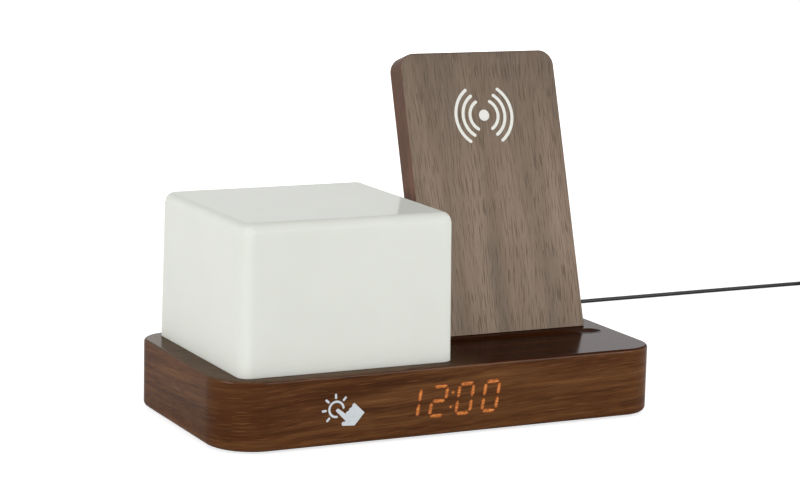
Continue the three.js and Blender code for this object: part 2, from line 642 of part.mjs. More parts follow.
function bottomCover() {
  let cover = solid(slab(baseOutline(COVER_INSET), COVER_BOTTOM, COVER_TOP));
  const ribLength = BASE_DEPTH - 2 * (BOSS_INSET_Y + BOSS_DIAMETER);
  for (let x = COVER_RIB_SPACING; x < BASE_WIDTH / 2 - FOOT_INSET_X; x += COVER_RIB_SPACING / 2) {
    cover = join(cover, solid(block(COVER_RIB_WIDTH, ribLength, COVER_RIB_HEIGHT, x, 0, COVER_TOP - FIT)));
  }
  for (const [x, y] of mainPostPlaces) {
    const high = MAIN_BOARD_BOTTOM - FIT;
    cover = join(cover, solid(post(POST_DIAMETER, COVER_BOTTOM + COVER_THICKNESS / 2, high, x, y)));
    cover = cut(cover, screwHoleUp(COVER_TOP, high + OVERRUN, x, y));
  }
  const headHole = SCREW_HEAD_DIAMETER + 2 * FIT;
  for (const [, x, y] of bossPlaces) {
    const sink = COVER_BOTTOM + SCREW_HEAD_THICKNESS + FIT;
    cover = cut(
      cover,
      solid(post(headHole, COVER_BOTTOM - OVERRUN, sink, x, y)),
      screwHoleUp(COVER_BOTTOM, COVER_TOP + OVERRUN, x, y),
    );
  }
  const footHole = FOOT_DIAMETER + 2 * FIT;
  for (const [, x, y] of footPlaces) {
    cover = cut(cover, solid(post(footHole, COVER_BOTTOM - OVERRUN, FOOT_THICKNESS + FIT, x, y)));
  }
  return cut(cover, ...soundHoles());
}

function foot() {
  const radius = FOOT_DIAMETER / 2;
  const round = FOOT_PROUD / 2;
  const profile = [
    new THREE.Vector2(0, 0),
    new THREE.Vector2(radius - round, 0),
    new THREE.Vector2(radius, round),
    new THREE.Vector2(radius, FOOT_THICKNESS),
    new THREE.Vector2(0, FOOT_THICKNESS),
  ];
  return new THREE.LatheGeometry(profile, ROUND_SIDES).rotateX(QUARTER_TURN);
}

function addBase(group) {
  group.add(part("base_shell", baseShell(), WALNUT()));
  group.add(part("bottom_cover", bottomCover(), BLACK_PLASTIC()));
  for (const [place, x, y] of footPlaces) {
    const mesh = part("foot_" + place, foot(), RUBBER());
    mesh.position.set(x, y, 0);
    group.add(mesh);
  }
  for (const [place, x, y] of bossPlaces) {
    const mesh = screw("cover_screw_" + place, SCREW_LENGTH, x, y, COVER_BOTTOM);
    mesh.rotation.x = Math.PI;
    group.add(mesh);
  }
}

// Night lamp: rings of one rounded rectangle, drawn in by the draft and the top edge's round
function shadeRing(inset, height, blend, radius) {
  const draft = height * Math.tan(THREE.MathUtils.degToRad(SHADE_DRAFT_DEG));
  const width = SHADE_WIDTH - 2 * (inset + draft);
  const depth = SHADE_DEPTH - 2 * (inset + draft);
  const corner = THREE.MathUtils.lerp(radius, SHADE_TOP_CORNER, blend);
  return evenOutline(width, depth, corner).getPoints(ARC_STEPS);
}

function shadeForm(wall, low) {
  const edge = SHADE_TOP_EDGE - wall;
  const radius = SHADE_CORNER - wall;
  const top = SHADE_HEIGHT - wall;
  const steps = 2 * EDGE_STEPS;
  const rings = [[shadeRing(wall, low, 0, radius), low]];
  for (let i = 0; i <= steps; i++) {
    const turn = (i / steps) * QUARTER_TURN;
    const drawn = 1 - Math.cos(turn);
    const height = top - edge * (1 - Math.sin(turn));
    rings.push([shadeRing(wall + edge * drawn, height, drawn, radius), height]);
  }
  return loft(rings);
}

// Rings with equal counts joined by bands, with a fan over each end
function loft(rings) {
  const count = rings[0][0].length - 1;
  const places = [];
  for (const [ring, height] of rings) {
    for (let i = 0; i < count; i++) {
      places.push(ring[i].x, ring[i].y, height);
    }
  }
  places.push(0, 0, rings[0][1], 0, 0, rings.at(-1)[1]);
  const lowCentre = rings.length * count;
  const faces = [];
  for (let i = 0; i < count; i++) {
    const next = (i + 1) % count;
    faces.push(lowCentre, next, i);
    for (let r = 0; r + 1 < rings.length; r++) {
      const a = r * count;
      const b = a + count;
      faces.push(a + i, a + next, b + next, a + i, b + next, b + i);
    }
    const last = (rings.length - 1) * count;
    faces.push(lowCentre + 1, last + i, last + next);
  }
  const geometry = new THREE.BufferGeometry();
  geometry.setAttribute("position", new THREE.Float32BufferAttribute(places, 3));
  geometry.setIndex(faces);
  return solid(geometry);
}

function lampShade() {
  const shade = cut(shadeForm(0, 0), shadeForm(SHADE_WALL, -OVERRUN));
  return shade.translate(SHADE_X, SHADE_Y, BASE_TOP + FIT);
}

function lampBoard() {
  const outline = evenOutline(LAMP_BOARD_WIDTH, LAMP_BOARD_DEPTH, LAMP_BOARD_CORNER);
  const plate = solid(slab(outline, LAMP_BOARD_BOTTOM, LAMP_BOARD_TOP).translate(SHADE_X, SHADE_Y, 0));
  const low = LAMP_BOARD_BOTTOM - OVERRUN;
  const high = LAMP_BOARD_TOP + OVERRUN;
  const holes = [...lampScrewPlaces.map((x) => [x, SCREW_HOLE_DIAMETER]), [0, LAMP_WIRE_HOLE / 2]];
  return cut(
    plate,
    ...holes.map(([x, size]) => solid(post(size, low, high, SHADE_X + x, SHADE_Y, SMALL_SIDES))),
  );
}

function ledGeometry() {
  const body = solid(slab(evenOutline(LED_SIZE, LED_SIZE, LED_DISH), 0, LED_HEIGHT));
  const dish = post(LED_LENS, LED_HEIGHT - LED_DISH, LED_HEIGHT + OVERRUN, 0, 0, SMALL_SIDES);
  return geometryOf(cut(body, solid(dish)));
}

function addLamp(group) {
  group.add(part("lamp_shade", lampShade(), OPAL()));
  group.add(part("lamp_board", lampBoard(), WHITE_PLASTIC()));
  for (const [row, y] of [["front", -LED_Y], ["rear", LED_Y]]) {
    for (const [column, x] of [["left", -LED_X], ["middle", 0], ["right", LED_X]]) {
      const led = part("lamp_led_" + row + "_" + column, ledGeometry(), LED_YELLOW());
      led.position.set(SHADE_X + x, SHADE_Y + y, LAMP_BOARD_TOP + FIT);
      group.add(led);
    }
  }
  lampScrewPlaces.forEach((x, i) => {
    const z = LAMP_BOARD_TOP + SCREW_HEAD_THICKNESS + FIT;
    group.add(screw("lamp_screw_" + (i + 1), SHORT_SCREW_LENGTH, SHADE_X + x, SHADE_Y, z));
  });
}

// Charging stand, in its own frame
function standOutline(inset, low, corner) {
  const x = STAND_WIDTH / 2 - inset;
  const top = STAND_LENGTH - inset;
  const outline = new THREE.Shape();
  outline.moveTo(-x, low);
  outline.lineTo(x, low);
  outline.absarc(x - corner, top - corner, corner, 0, QUARTER_TURN);
  outline.absarc(-x + corner, top - corner, corner, QUARTER_TURN, 2 * QUARTER_TURN);
  return outline;
}

// What lies below the panel's shoulder, which is level with the base's roof
function underShoulder() {
  const low = BASE_TOP + FIT - STAND_LENGTH;
  const space = block(2 * STAND_WIDTH, STAND_LENGTH, STAND_LENGTH, STAND_X, STAND_Y, low);
  return solid(space.applyMatrix4(standFrame.matrix.clone().invert()));
}

function standPanel() {
  let panel = solid(upright(standOutline(0, -STAND_FOOT, STAND_CORNER), 0, STAND_THICKNESS, STAND_EDGE));
  const foot = block(FOOT_WIDTH, FOOT_DEPTH, STAND_FOOT + STAND_BLOCK, 0, STAND_MID, -STAND_FOOT);
  panel = join(cut(panel, underShoulder()), solid(foot));
  const cavity = standOutline(STAND_WALL, STAND_BLOCK, STAND_CAVITY_CORNER);
  panel = cut(panel, solid(upright(cavity, STAND_SKIN, STAND_THICKNESS + OVERRUN)));
  for (const [, x, z] of standPostPlaces) {
    const rear = REAR_COVER_FRONT - FIT;
    panel = join(panel, solid(pin(POST_DIAMETER, STAND_SKIN / 2, rear, x, z)));
    panel = cut(panel, screwHoleBack(STAND_SKIN, rear + OVERRUN, x, z));
  }
  const low = -STAND_FOOT - OVERRUN;
  const top = SOCKET_BOTTOM + SCREW_LENGTH;
  const side = STAND_SCREW_SPACING / 2;
  return cut(
    panel,
    screwHoleUp(low, top, -side, STAND_MID),
    screwHoleUp(low, top, side, STAND_MID),
    solid(post(STAND_LEAD_HOLE, low, STAND_BLOCK + OVERRUN, 0, STAND_MID, SMALL_SIDES)),
  );
}

function rearCover() {
  const outline = standOutline(STAND_WALL + FIT, STAND_BLOCK + FIT, STAND_CAVITY_CORNER);
  let cover = solid(upright(outline, REAR_COVER_FRONT, STAND_THICKNESS));
  for (const [, x, z] of standPostPlaces) {
    const sink = STAND_THICKNESS - SCREW_HEAD_THICKNESS;
    const headHole = SCREW_HEAD_DIAMETER + 2 * FIT;
    cover = cut(
      cover,
      solid(pin(headHole, sink, STAND_THICKNESS + OVERRUN, x, z)),
      screwHoleBack(REAR_COVER_FRONT - OVERRUN, STAND_THICKNESS, x, z),
    );
  }
  return cover;
}

// The flat winding, with a step at each face where the wire's two layers begin
function chargingCoil() {
  const outer = COIL_OUTER_DIAMETER / 2;
  const inner = COIL_INNER_DIAMETER / 2;
  const profile = [
    new THREE.Vector2(inner, 0),
    new THREE.Vector2(outer - COIL_GROOVE, 0),
    new THREE.Vector2(outer, COIL_THICKNESS / 2),
    new THREE.Vector2(outer - COIL_GROOVE, COIL_THICKNESS),
    new THREE.Vector2(inner, COIL_THICKNESS),
    new THREE.Vector2(inner, 0),
  ];
  const ring = new THREE.LatheGeometry(profile, 2 * ROUND_SIDES);
  return ring.translate(0, STAND_SKIN + FIT, COIL_HEIGHT);
}

function ferriteSheet() {
  const front = STAND_SKIN + 2 * FIT + COIL_THICKNESS;
  const outline = evenOutline(FERRITE_SIZE, FERRITE_SIZE, FERRITE_CORNER);
  return upright(outline, front, front + FERRITE_THICKNESS).translate(0, 0, COIL_HEIGHT);
}

function chargerBoard() {
  const front = STAND_SKIN + FIT;
  const rear = front + BOARD_THICKNESS;
  const mid = CHARGER_BOARD_LOW + CHARGER_BOARD_HEIGHT / 2;
  const size = [CHARGER_BOARD_WIDTH, BOARD_THICKNESS, CHARGER_BOARD_HEIGHT];
  const plate = block(...size, 0, (front + rear) / 2, CHARGER_BOARD_LOW);
  const chip = block(CHIP_WIDTH, CHIP_HEIGHT + FIT, CHIP_DEPTH, CHIP_WIDTH, rear, mid);
  const inductor = pin(CAPACITOR_DIAMETER, rear - FIT, rear + SCREW_HEAD_THICKNESS, -CHIP_WIDTH, mid);
  return join(solid(plate), solid(chip), solid(inductor));
}

function standLead() {
  const low = SOCKET_BOTTOM - STAND_FOOT;
  const high = CHARGER_BOARD_LOW - FIT;
  return post(STAND_LEAD_DIAMETER, low, high, 0, STAND_MID, LEAD_SIDES);
}

function makeStand() {
  const stand = new THREE.Group();
  stand.add(part("stand_panel", standPanel(), GREY_WALNUT()));
  stand.add(part("stand_rear_cover", rearCover(), BLACK_PLASTIC()));
  stand.add(part("charging_coil", chargingCoil(), COPPER()));
  stand.add(part("ferrite_sheet", ferriteSheet(), FERRITE()));
  stand.add(part("charger_board", chargerBoard(), BOARD_GREEN()));
  stand.add(part("stand_lead", standLead(), LEAD_BLACK()));
  for (const [place, x, z] of standPostPlaces) {
    const mesh = screw("rear_screw_" + place, SHORT_SCREW_LENGTH, x, STAND_THICKNESS, z);
    mesh.rotation.x = -QUARTER_TURN;
    stand.add(mesh);
  }
  for (const [side, x] of [["left", -STAND_SCREW_SPACING / 2], ["right", STAND_SCREW_SPACING / 2]]) {
    const z = SOCKET_BOTTOM - SCREW_HEAD_THICKNESS - FIT;
    const mesh = screw("stand_screw_" + side, SCREW_LENGTH, x, STAND_MID, z);
    mesh.rotation.x = Math.PI;
    stand.add(mesh);
  }
  stand.position.copy(standFrame.position);
  stand.rotation.copy(standFrame.rotation);
  return stand;
}

// Boards and what they carry
function mainBoard() {
  const x = MAIN_BOARD_CENTRE_X;
  const size = [MAIN_BOARD_WIDTH, MAIN_BOARD_DEPTH, BOARD_THICKNESS];
  const plate = block(...size, x, 0, MAIN_BOARD_BOTTOM);
  const sunk = MAIN_BOARD_TOP - FIT;
  const capacitorX = x + MAIN_BOARD_WIDTH / 2 - CAPACITOR_DIAMETER;
  const pieces = [
    block(CHIP_WIDTH, CHIP_DEPTH, CHIP_HEIGHT + FIT, x, 2 * CHIP_DEPTH, sunk),
    block(SOCKET_STRIP_WIDTH, SOCKET_STRIP_DEPTH, SOCKET_STRIP_HEIGHT, x, -2 * CHIP_DEPTH, sunk),
    post(CAPACITOR_DIAMETER, sunk, sunk + CAPACITOR_HEIGHT, capacitorX, 0),
  ];
  let board = join(solid(plate), ...pieces.map(solid));
  for (const [holeX, y] of mainPostPlaces) {
    board = cut(board, screwHoleUp(MAIN_BOARD_BOTTOM - OVERRUN, MAIN_BOARD_TOP + OVERRUN, holeX, y));
  }
  return board;
}

function buzzer() {
  const high = MAIN_BOARD_BOTTOM - FIT;
  const low = Math.max(high - BUZZER_HEIGHT, COVER_TOP + FIT);
  const can = post(BUZZER_DIAMETER, low, high, MAIN_BOARD_CENTRE_X, 0);
  const mouth = post(BUZZER_HOLE, low - OVERRUN, (low + high) / 2, MAIN_BOARD_CENTRE_X, 0, SMALL_SIDES);
  return cut(solid(can), solid(mouth));
}

function cellHolder(x) {
  const low = MAIN_BOARD_TOP + FIT;
  const outer = CELL_DIAMETER + 2 * (FIT + HOLDER_WALL);
  const high = low + HOLDER_FLOOR + CELL_THICKNESS;
  const cup = post(outer, low, high, x, 0);
  const pocket = post(CELL_DIAMETER + 2 * FIT, low + HOLDER_FLOOR, high + OVERRUN, x, 0);
  const notch = CELL_DIAMETER / 2;
  const thumb = block(notch, notch, CELL_THICKNESS + OVERRUN, x, outer / 2, low + HOLDER_FLOOR);
  return cut(solid(cup), solid(pocket), solid(thumb));
}

function coinCell(x) {
  const low = MAIN_BOARD_TOP + HOLDER_FLOOR + 2 * FIT;
  const radius = CELL_DIAMETER / 2;
  const profile = [
    new THREE.Vector2(0, 0),
    new THREE.Vector2(radius - CELL_STEP, 0),
    new THREE.Vector2(radius, CELL_STEP),
    new THREE.Vector2(radius, CELL_THICKNESS),
    new THREE.Vector2(0, CELL_THICKNESS),
  ];
  return new THREE.LatheGeometry(profile, ROUND_SIDES).rotateX(QUARTER_TURN).translate(x, 0, low);
}

// One stroke of a digit: a bar with pointed ends, centred, lying or standing
function stroke(length, standing) {
  const half = STROKE / 2;
  const reach = length / 2 - STROKE_GAP;
  const points = [
    [-reach, 0],
    [-reach + half, -half],
    [reach - half, -half],
    [reach, 0],
    [reach - half, half],
    [-reach + half, half],
  ];
  const places = points.map(([along, across]) =>
    standing ? new THREE.Vector2(-across, along) : new THREE.Vector2(along, across),
  );
  return new THREE.Shape(places);
}

// The light wells of the four digits and the colon, as upright bars through the mask
function lightWells() {
  const lean = Math.tan(THREE.MathUtils.degToRad(DIGIT_SLANT_DEG));
  const shear = new THREE.Matrix4().makeShear(0, 0, 0, 0, lean, 0);
  const front = MASK_FRONT - OVERRUN;
  const rear = MASK_FRONT + DISPLAY_MASK_THICKNESS + OVERRUN;
  const across = stroke(DIGIT_WIDTH, false);
  const standing = stroke(DIGIT_HEIGHT / 2, true);
  const wells = [];
  const well = (outline, x, z) => {
    const bar = upright(outline, front, rear).translate(x, 0, z).applyMatrix4(shear);
    wells.push(solid(bar.translate(DISPLAY_CENTRE_X, 0, DISPLAY_CENTRE_Z)));
  };
  for (let digit = 0; digit < 4; digit++) {
    const x = (digit - 1.5) * DIGIT_PITCH;
    for (const level of [-1, 0, 1]) {
      well(across, x, (level * DIGIT_HEIGHT) / 2);
    }
    for (const side of [-1, 1]) {
      for (const level of [-1, 1]) {
        well(standing, x + (side * DIGIT_WIDTH) / 2, (level * DIGIT_HEIGHT) / 4);
      }
    }
  }
  for (const level of [-1, 1]) {
    const dot = new THREE.Shape().absarc(0, 0, STROKE / 2, 0, FULL_TURN);
    well(dot, 0, (level * COLON_SPREAD) / 2);
  }
  return wells;
}

function displayMask() {
  const outline = evenOutline(DISPLAY_WIDTH, DISPLAY_DEPTH, STROKE);
  const body = upright(outline, MASK_FRONT, MASK_FRONT + DISPLAY_MASK_THICKNESS);
  return cut(solid(body.translate(DISPLAY_CENTRE_X, 0, DISPLAY_CENTRE_Z)), ...lightWells());
}

function displayBoard() {
  const width = DISPLAY_BOARD_RIGHT - DISPLAY_BOARD_LEFT;
  const mid = (DISPLAY_BOARD_LEFT + DISPLAY_BOARD_RIGHT) / 2;
  const rear = DISPLAY_BOARD_FRONT + BOARD_THICKNESS;
  const outline = evenOutline(width, DISPLAY_BOARD_HEIGHT, STROKE);
  const plate = upright(outline, DISPLAY_BOARD_FRONT, rear).translate(mid, 0, DISPLAY_CENTRE_Z);
  const chipLow = DISPLAY_CENTRE_Z - CHIP_DEPTH / 2;
  const chip = block(2 * CHIP_WIDTH, CHIP_HEIGHT + FIT, CHIP_DEPTH, mid, rear, chipLow);
  const holes = displayPostPlaces.map((x) =>
    screwHoleBack(DISPLAY_BOARD_FRONT - OVERRUN, rear + OVERRUN, x, DISPLAY_CENTRE_Z),
  );
  return cut(join(solid(plate), solid(chip)), ...holes);
}

function touchFoil() {
  const outline = evenOutline(TOUCH_WIDTH, TOUCH_HEIGHT, TOUCH_CORNER);
  const foil = upright(outline, TOUCH_FRONT, TOUCH_FRONT + TOUCH_FOIL);
  return foil.translate(TOUCH_CENTRE_X, 0, DISPLAY_CENTRE_Z);
}

function touchFoam() {
  const front = TOUCH_FRONT + TOUCH_FOIL + FIT;
  const depth = DISPLAY_BOARD_FRONT - FIT - front;
  const low = DISPLAY_CENTRE_Z - TOUCH_FOAM_HEIGHT / 2;
  return block(TOUCH_FOAM_WIDTH, depth, TOUCH_FOAM_HEIGHT, TOUCH_CENTRE_X, front + depth / 2, low);
}

function addBoards(group) {
  const cellX = MAIN_BOARD_CENTRE_X - MAIN_BOARD_WIDTH / 4;
  group.add(part("main_board", mainBoard(), BOARD_GREEN()));
  group.add(part("buzzer", buzzer(), BLACK_PLASTIC()));
  group.add(part("cell_holder", cellHolder(cellX), WHITE_PLASTIC()));
  group.add(part("coin_cell", coinCell(cellX), STEEL()));
  mainPostPlaces.forEach(([x, y], i) => {
    const z = MAIN_BOARD_TOP + SCREW_HEAD_THICKNESS + FIT;
    group.add(screw("main_screw_" + (i + 1), SHORT_SCREW_LENGTH, x, y, z));
  });
  group.add(part("display_mask", displayMask(), BLACK_PLASTIC()));
  group.add(part("display_board", displayBoard(), BOARD_GREEN()));
  displayPostPlaces.forEach((x, i) => {
    const y = DISPLAY_BOARD_FRONT + BOARD_THICKNESS + SCREW_HEAD_THICKNESS + FIT;
    const mesh = screw("display_screw_" + (i + 1), SHORT_SCREW_LENGTH, x, y, DISPLAY_CENTRE_Z);
    mesh.rotation.x = -QUARTER_TURN;
    group.add(mesh);
  });
  group.add(part("touch_foil", touchFoil(), COPPER()));
  group.add(part("touch_foam", touchFoam(), RUBBER()));
}

// Setting buttons: a dished cap, a flange that keeps it in, and a stem that reaches the switch
function buttonGeometry() {
  const cap = BUTTON_DIAMETER / 2;
  const flange = BUTTON_FLANGE_DIAMETER / 2;
  const stem = BUTTON_STEM_DIAMETER / 2;
  const flangeFront = BUTTON_FLANGE_FACE - BUTTON_FLANGE;
  const profile = [
    new THREE.Vector2(0, BUTTON_STEM_TIP),
    new THREE.Vector2(stem, BUTTON_STEM_TIP),
    new THREE.Vector2(stem, flangeFront),
    new THREE.Vector2(flange, flangeFront),
    new THREE.Vector2(flange, BUTTON_FLANGE_FACE),
    new THREE.Vector2(cap, BUTTON_FLANGE_FACE),
    new THREE.Vector2(cap, BUTTON_FACE - BUTTON_DISH),
    new THREE.Vector2(cap - BUTTON_DISH, BUTTON_FACE),
    new THREE.Vector2(cap / 2, BUTTON_FACE - BUTTON_DISH / 2),
    new THREE.Vector2(0, BUTTON_FACE - BUTTON_DISH),
  ];
  return new THREE.LatheGeometry(profile, ROUND_SIDES);
}

function switchBody() {
  const rear = SWITCH_TIP - SWITCH_PLUNGER;
  const low = -SWITCH_SIZE / 2;
  const body = block(SWITCH_SIZE, SWITCH_BODY, SWITCH_SIZE, 0, rear - SWITCH_BODY / 2, low);
  return join(solid(body), solid(pin(SWITCH_PLUNGER_DIAMETER, rear - FIT, SWITCH_TIP, 0, 0, SMALL_SIDES)));
}

function buttonBoard() {
  const front = BUTTON_BOARD_REAR - BOARD_THICKNESS;
  const outline = evenOutline(BUTTON_ROW + 2 * BUTTON_BOARD_MARGIN, BUTTON_BOARD_HEIGHT, STROKE);
  const plate = upright(outline, front, BUTTON_BOARD_REAR).translate(BUTTON_MID_X, 0, BUTTON_Z);
  const holes = buttonPostPlaces.map((x) =>
    screwHoleBack(front - OVERRUN, BUTTON_BOARD_REAR + OVERRUN, x, BUTTON_Z),
  );
  return cut(solid(plate), ...holes);
}

function addButtons(group) {
  group.add(part("button_board", buttonBoard(), BOARD_GREEN()));
  for (const [name, x] of buttonPlaces) {
    const button = part("button_" + name, buttonGeometry(), BLACK_PLASTIC());
    const key = part("switch_" + name, switchBody(), BLACK_PLASTIC());
    button.position.set(x, 0, BUTTON_Z);
    key.position.set(x, 0, BUTTON_Z);
    group.add(button, key);
  }
  buttonPostPlaces.forEach((x, i) => {
    const y = BUTTON_BOARD_REAR - BOARD_THICKNESS - SCREW_HEAD_THICKNESS - FIT;
    const mesh = screw("button_screw_" + (i + 1), SHORT_SCREW_LENGTH, x, y, BUTTON_Z);
    mesh.rotation.x = QUARTER_TURN;
    group.add(mesh);
  });
}

// Power lead
function strainRelief() {
  const root = RELIEF_ROOT_DIAMETER / 2;
  const tip = RELIEF_TIP_DIAMETER / 2;
  const inside = REAR_INSIDE - FIT;
  const groovePitch = RELIEF_LENGTH / (RELIEF_GROOVES + 1);
  const profile = [
    new THREE.Vector2(0, inside - RELIEF_FLANGE),
    new THREE.Vector2(RELIEF_FLANGE_DIAMETER / 2, inside - RELIEF_FLANGE),
    new THREE.Vector2(RELIEF_FLANGE_DIAMETER / 2, inside),
    new THREE.Vector2(root, inside),
  ];
  for (let i = 0; i < RELIEF_GROOVES; i++) {
    const y = BASE_DEPTH / 2 + groovePitch * (i + 1 / 2);
    const radius = THREE.MathUtils.lerp(root, tip, (y - BASE_DEPTH / 2) / RELIEF_LENGTH);
    profile.push(
      new THREE.Vector2(radius, y),
      new THREE.Vector2(radius - RELIEF_GROOVE, y + groovePitch / 8),
      new THREE.Vector2(radius - RELIEF_GROOVE, y + groovePitch * (3 / 8)),
      new THREE.Vector2(radius, y + groovePitch / 2),
    );
  }
  profile.push(new THREE.Vector2(tip, RELIEF_TIP_Y), new THREE.Vector2(0, RELIEF_TIP_Y));
  return new THREE.LatheGeometry(profile, ROUND_SIDES).translate(LEAD_EXIT_X, 0, LEAD_EXIT_HEIGHT);
}

function sectionOutline(diameter, sides) {
  const places = [];
  for (let i = 0; i < sides; i++) {
    const turn = ((i + 1 / 2) * FULL_TURN) / sides;
    places.push(new THREE.Vector2((diameter / 2) * Math.cos(turn), (diameter / 2) * Math.sin(turn)));
  }
  return new THREE.Shape(places);
}

function tube(points, diameter, sides, steps) {
  const curve = new THREE.CatmullRomCurve3(points, false, "centripetal");
  curve.arcLengthDivisions = 8 * Math.max(steps, points.length);
  return {
    length: curve.getLength(),
    geometry: new THREE.ExtrudeGeometry(sectionOutline(diameter, sides), {
      steps,
      bevelEnabled: false,
      extrudePath: curve,
    }),
  };
}

function leadPoints() {
  const start = [
    [LEAD_EXIT_X, RELIEF_TIP_Y + FIT, LEAD_EXIT_HEIGHT],
    [LEAD_EXIT_X, RELIEF_TIP_Y + FIT + LEAD_DIAMETER, LEAD_EXIT_HEIGHT],
  ];
  const end = [[COIL_CENTRE_X - LEAD_DIAMETER - FIT, LEAD_END_Y, LEAD_DIAMETER / 2]];
  return [...start, ...LEAD_ROUTE, ...end].map((place) => new THREE.Vector3(...place));
}

// The wound part of the lead: loops that spiral in and out again, climbing a layer in the half turn
// where the spiral reverses, then a quarter turn more and a slope down to the plug
function windingPoints() {
  const points = [new THREE.Vector3(COIL_CENTRE_X - LEAD_DIAMETER, LEAD_END_Y, LEAD_DIAMETER / 2)];
  const count = Math.round(COIL_TURNS * COIL_STEPS_PER_TURN);
  for (let i = 0; i <= count; i++) {
    const turns = i / COIL_STEPS_PER_TURN;
    const layer = Math.min(Math.floor(turns / COIL_TURNS_PER_LAYER), COIL_LAYERS - 1);
    const along = turns - layer * COIL_TURNS_PER_LAYER;
    const inward = layer % 2 === 0;
    const radius = inward ? COIL_OUTER_RADIUS - along * COIL_PITCH : COIL_INNER_RADIUS + along * COIL_PITCH;
    const angle = QUARTER_TURN - turns * FULL_TURN;
    points.push(
      new THREE.Vector3(
        COIL_CENTRE_X + radius * Math.cos(angle),
        COIL_CENTRE_Y + radius * Math.sin(angle),
        LEAD_DIAMETER / 2 + COIL_PITCH * climbed(turns),
      ),
    );
  }
  const top = points.at(-1);
  const steps = Math.round(PLUG_DESCENT / (2 * LEAD_DIAMETER));
  for (let i = 1; i <= steps; i++) {
    const share = i / steps;
    const height = THREE.MathUtils.lerp(top.z, PLUG_HEIGHT / 2, THREE.MathUtils.smoothstep(share, 0, 1));
    points.push(new THREE.Vector3(top.x, top.y - share * PLUG_DESCENT, height));
  }
  points.push(new THREE.Vector3(top.x, top.y - PLUG_DESCENT - LEAD_DIAMETER, PLUG_HEIGHT / 2));
  return points;
}

// How many layers the winding has climbed after so many turns
function climbed(turns) {
  let layers = 0;
  for (let layer = 1; layer < COIL_LAYERS; layer++) {
    const reversal = layer * COIL_TURNS_PER_LAYER;
    layers += THREE.MathUtils.smoothstep(turns, reversal - 1 / 4, reversal + 1 / 4);
  }
  return layers;
}

// The least gap between stretches of the winding that are more than half a turn apart
function leastGap(points) {
  let least = Infinity;
  for (let i = 0; i < points.length; i++) {
    for (let j = i + COIL_STEPS_PER_TURN / 2; j < points.length; j++) {
      least = Math.min(least, points[i].distanceTo(points[j]));
    }
  }
  return least - LEAD_DIAMETER;
}

function plugBody() {
  const outline = evenOutline(PLUG_WIDTH, PLUG_HEIGHT, PLUG_CORNER);
  const body = solid(upright(outline, PLUG_FACE_Y, PLUG_BODY_Y, PLUG_EDGE));
  const profile = [
    new THREE.Vector2(0, PLUG_BODY_Y - PLUG_EDGE),
    new THREE.Vector2(PLUG_BOOT_DIAMETER / 2, PLUG_BODY_Y - PLUG_EDGE),
    new THREE.Vector2(PLUG_BOOT_DIAMETER / 2, PLUG_BODY_Y),
    new THREE.Vector2(PLUG_BOOT_TIP_DIAMETER / 2, PLUG_BOOT_Y),
    new THREE.Vector2(0, PLUG_BOOT_Y),
  ];
  const boot = solid(new THREE.LatheGeometry(profile, ROUND_SIDES));
  const pocket = evenOutline(PLUG_SHELL_WIDTH + 2 * FIT, PLUG_SHELL_HEIGHT + 2 * FIT, PLUG_SHELL_CORNER);
  const pocketCut = solid(upright(pocket, PLUG_FACE_Y - OVERRUN, PLUG_FACE_Y + PLUG_SOCKET_DEPTH));
  return cut(join(body, boot), pocketCut).translate(PLUG_X, 0, PLUG_HEIGHT / 2);
}

function plugShell() {
  const rear = PLUG_FACE_Y + PLUG_SOCKET_DEPTH - FIT;
  const front = rear - PLUG_SHELL_LENGTH;
  const outer = evenOutline(PLUG_SHELL_WIDTH, PLUG_SHELL_HEIGHT, PLUG_SHELL_CORNER);
  const width = PLUG_SHELL_WIDTH - 2 * PLUG_SHELL_WALL;
  const height = PLUG_SHELL_HEIGHT - 2 * PLUG_SHELL_WALL;
  const inner = evenOutline(width, height, PLUG_SHELL_CORNER - PLUG_SHELL_WALL / 2);
  const windows = [-1, 1].map((side) => {
    const x = (side * PLUG_WINDOW_SPACING) / 2;
    const y = front + PLUG_WINDOW_FROM_MOUTH;
    return solid(block(PLUG_WINDOW, PLUG_WINDOW, PLUG_SHELL_HEIGHT, x, y, 0));
  });
  const shell = cut(
    solid(upright(outer, front, rear)),
    solid(upright(inner, front - OVERRUN, rear + OVERRUN)),
    ...windows,
  );
  return shell.translate(PLUG_X, 0, PLUG_HEIGHT / 2);
}

function plugTongue() {
  const rear = PLUG_FACE_Y + PLUG_SOCKET_DEPTH - FIT;
  const front = rear - PLUG_SHELL_LENGTH + FIT;
  const width = PLUG_SHELL_WIDTH - 2 * (PLUG_SHELL_WALL + FIT);
  const low = PLUG_HEIGHT / 2 - PLUG_SHELL_HEIGHT / 2 + PLUG_SHELL_WALL + FIT;
  return block(width, rear - front, PLUG_TONGUE_THICKNESS, PLUG_X, (front + rear) / 2, low);
}

function addLead(group) {
  const route = leadPoints();
  const reach = route.slice(1).reduce((sum, place, i) => sum + place.distanceTo(route[i]), 0);
  const steps = Math.round(reach / (LEAD_STEP_DIAMETERS * LEAD_DIAMETER));
  const free = tube(route, LEAD_DIAMETER, LEAD_SIDES, steps);
  const wound = windingPoints();
  const coil = tube(wound, LEAD_DIAMETER, COIL_SIDES, wound.length - 1);
  console.log("power lead, free stretch " + free.length.toFixed(1) + " mm");
  console.log("power lead, wound stretch " + coil.length.toFixed(1) + " mm");
  console.log("winding, least gap to itself " + leastGap(wound).toFixed(2) + " mm");
  group.add(part("strain_relief", strainRelief(), RUBBER()));
  group.add(part("power_lead", free.geometry, LEAD_BLACK()));
  group.add(part("power_lead_coil", coil.geometry, LEAD_BLACK()));
  group.add(part("plug_body", plugBody(), LEAD_BLACK()));
  group.add(part("plug_shell", plugShell(), STEEL()));
  group.add(part("plug_tongue", plugTongue(), WHITE_PLASTIC()));
}

const clock = new THREE.Group();
addBase(clock);
addLamp(clock);
addBoards(clock);
addButtons(clock);
addLead(clock);
clock.add(makeStand());

export default clock;
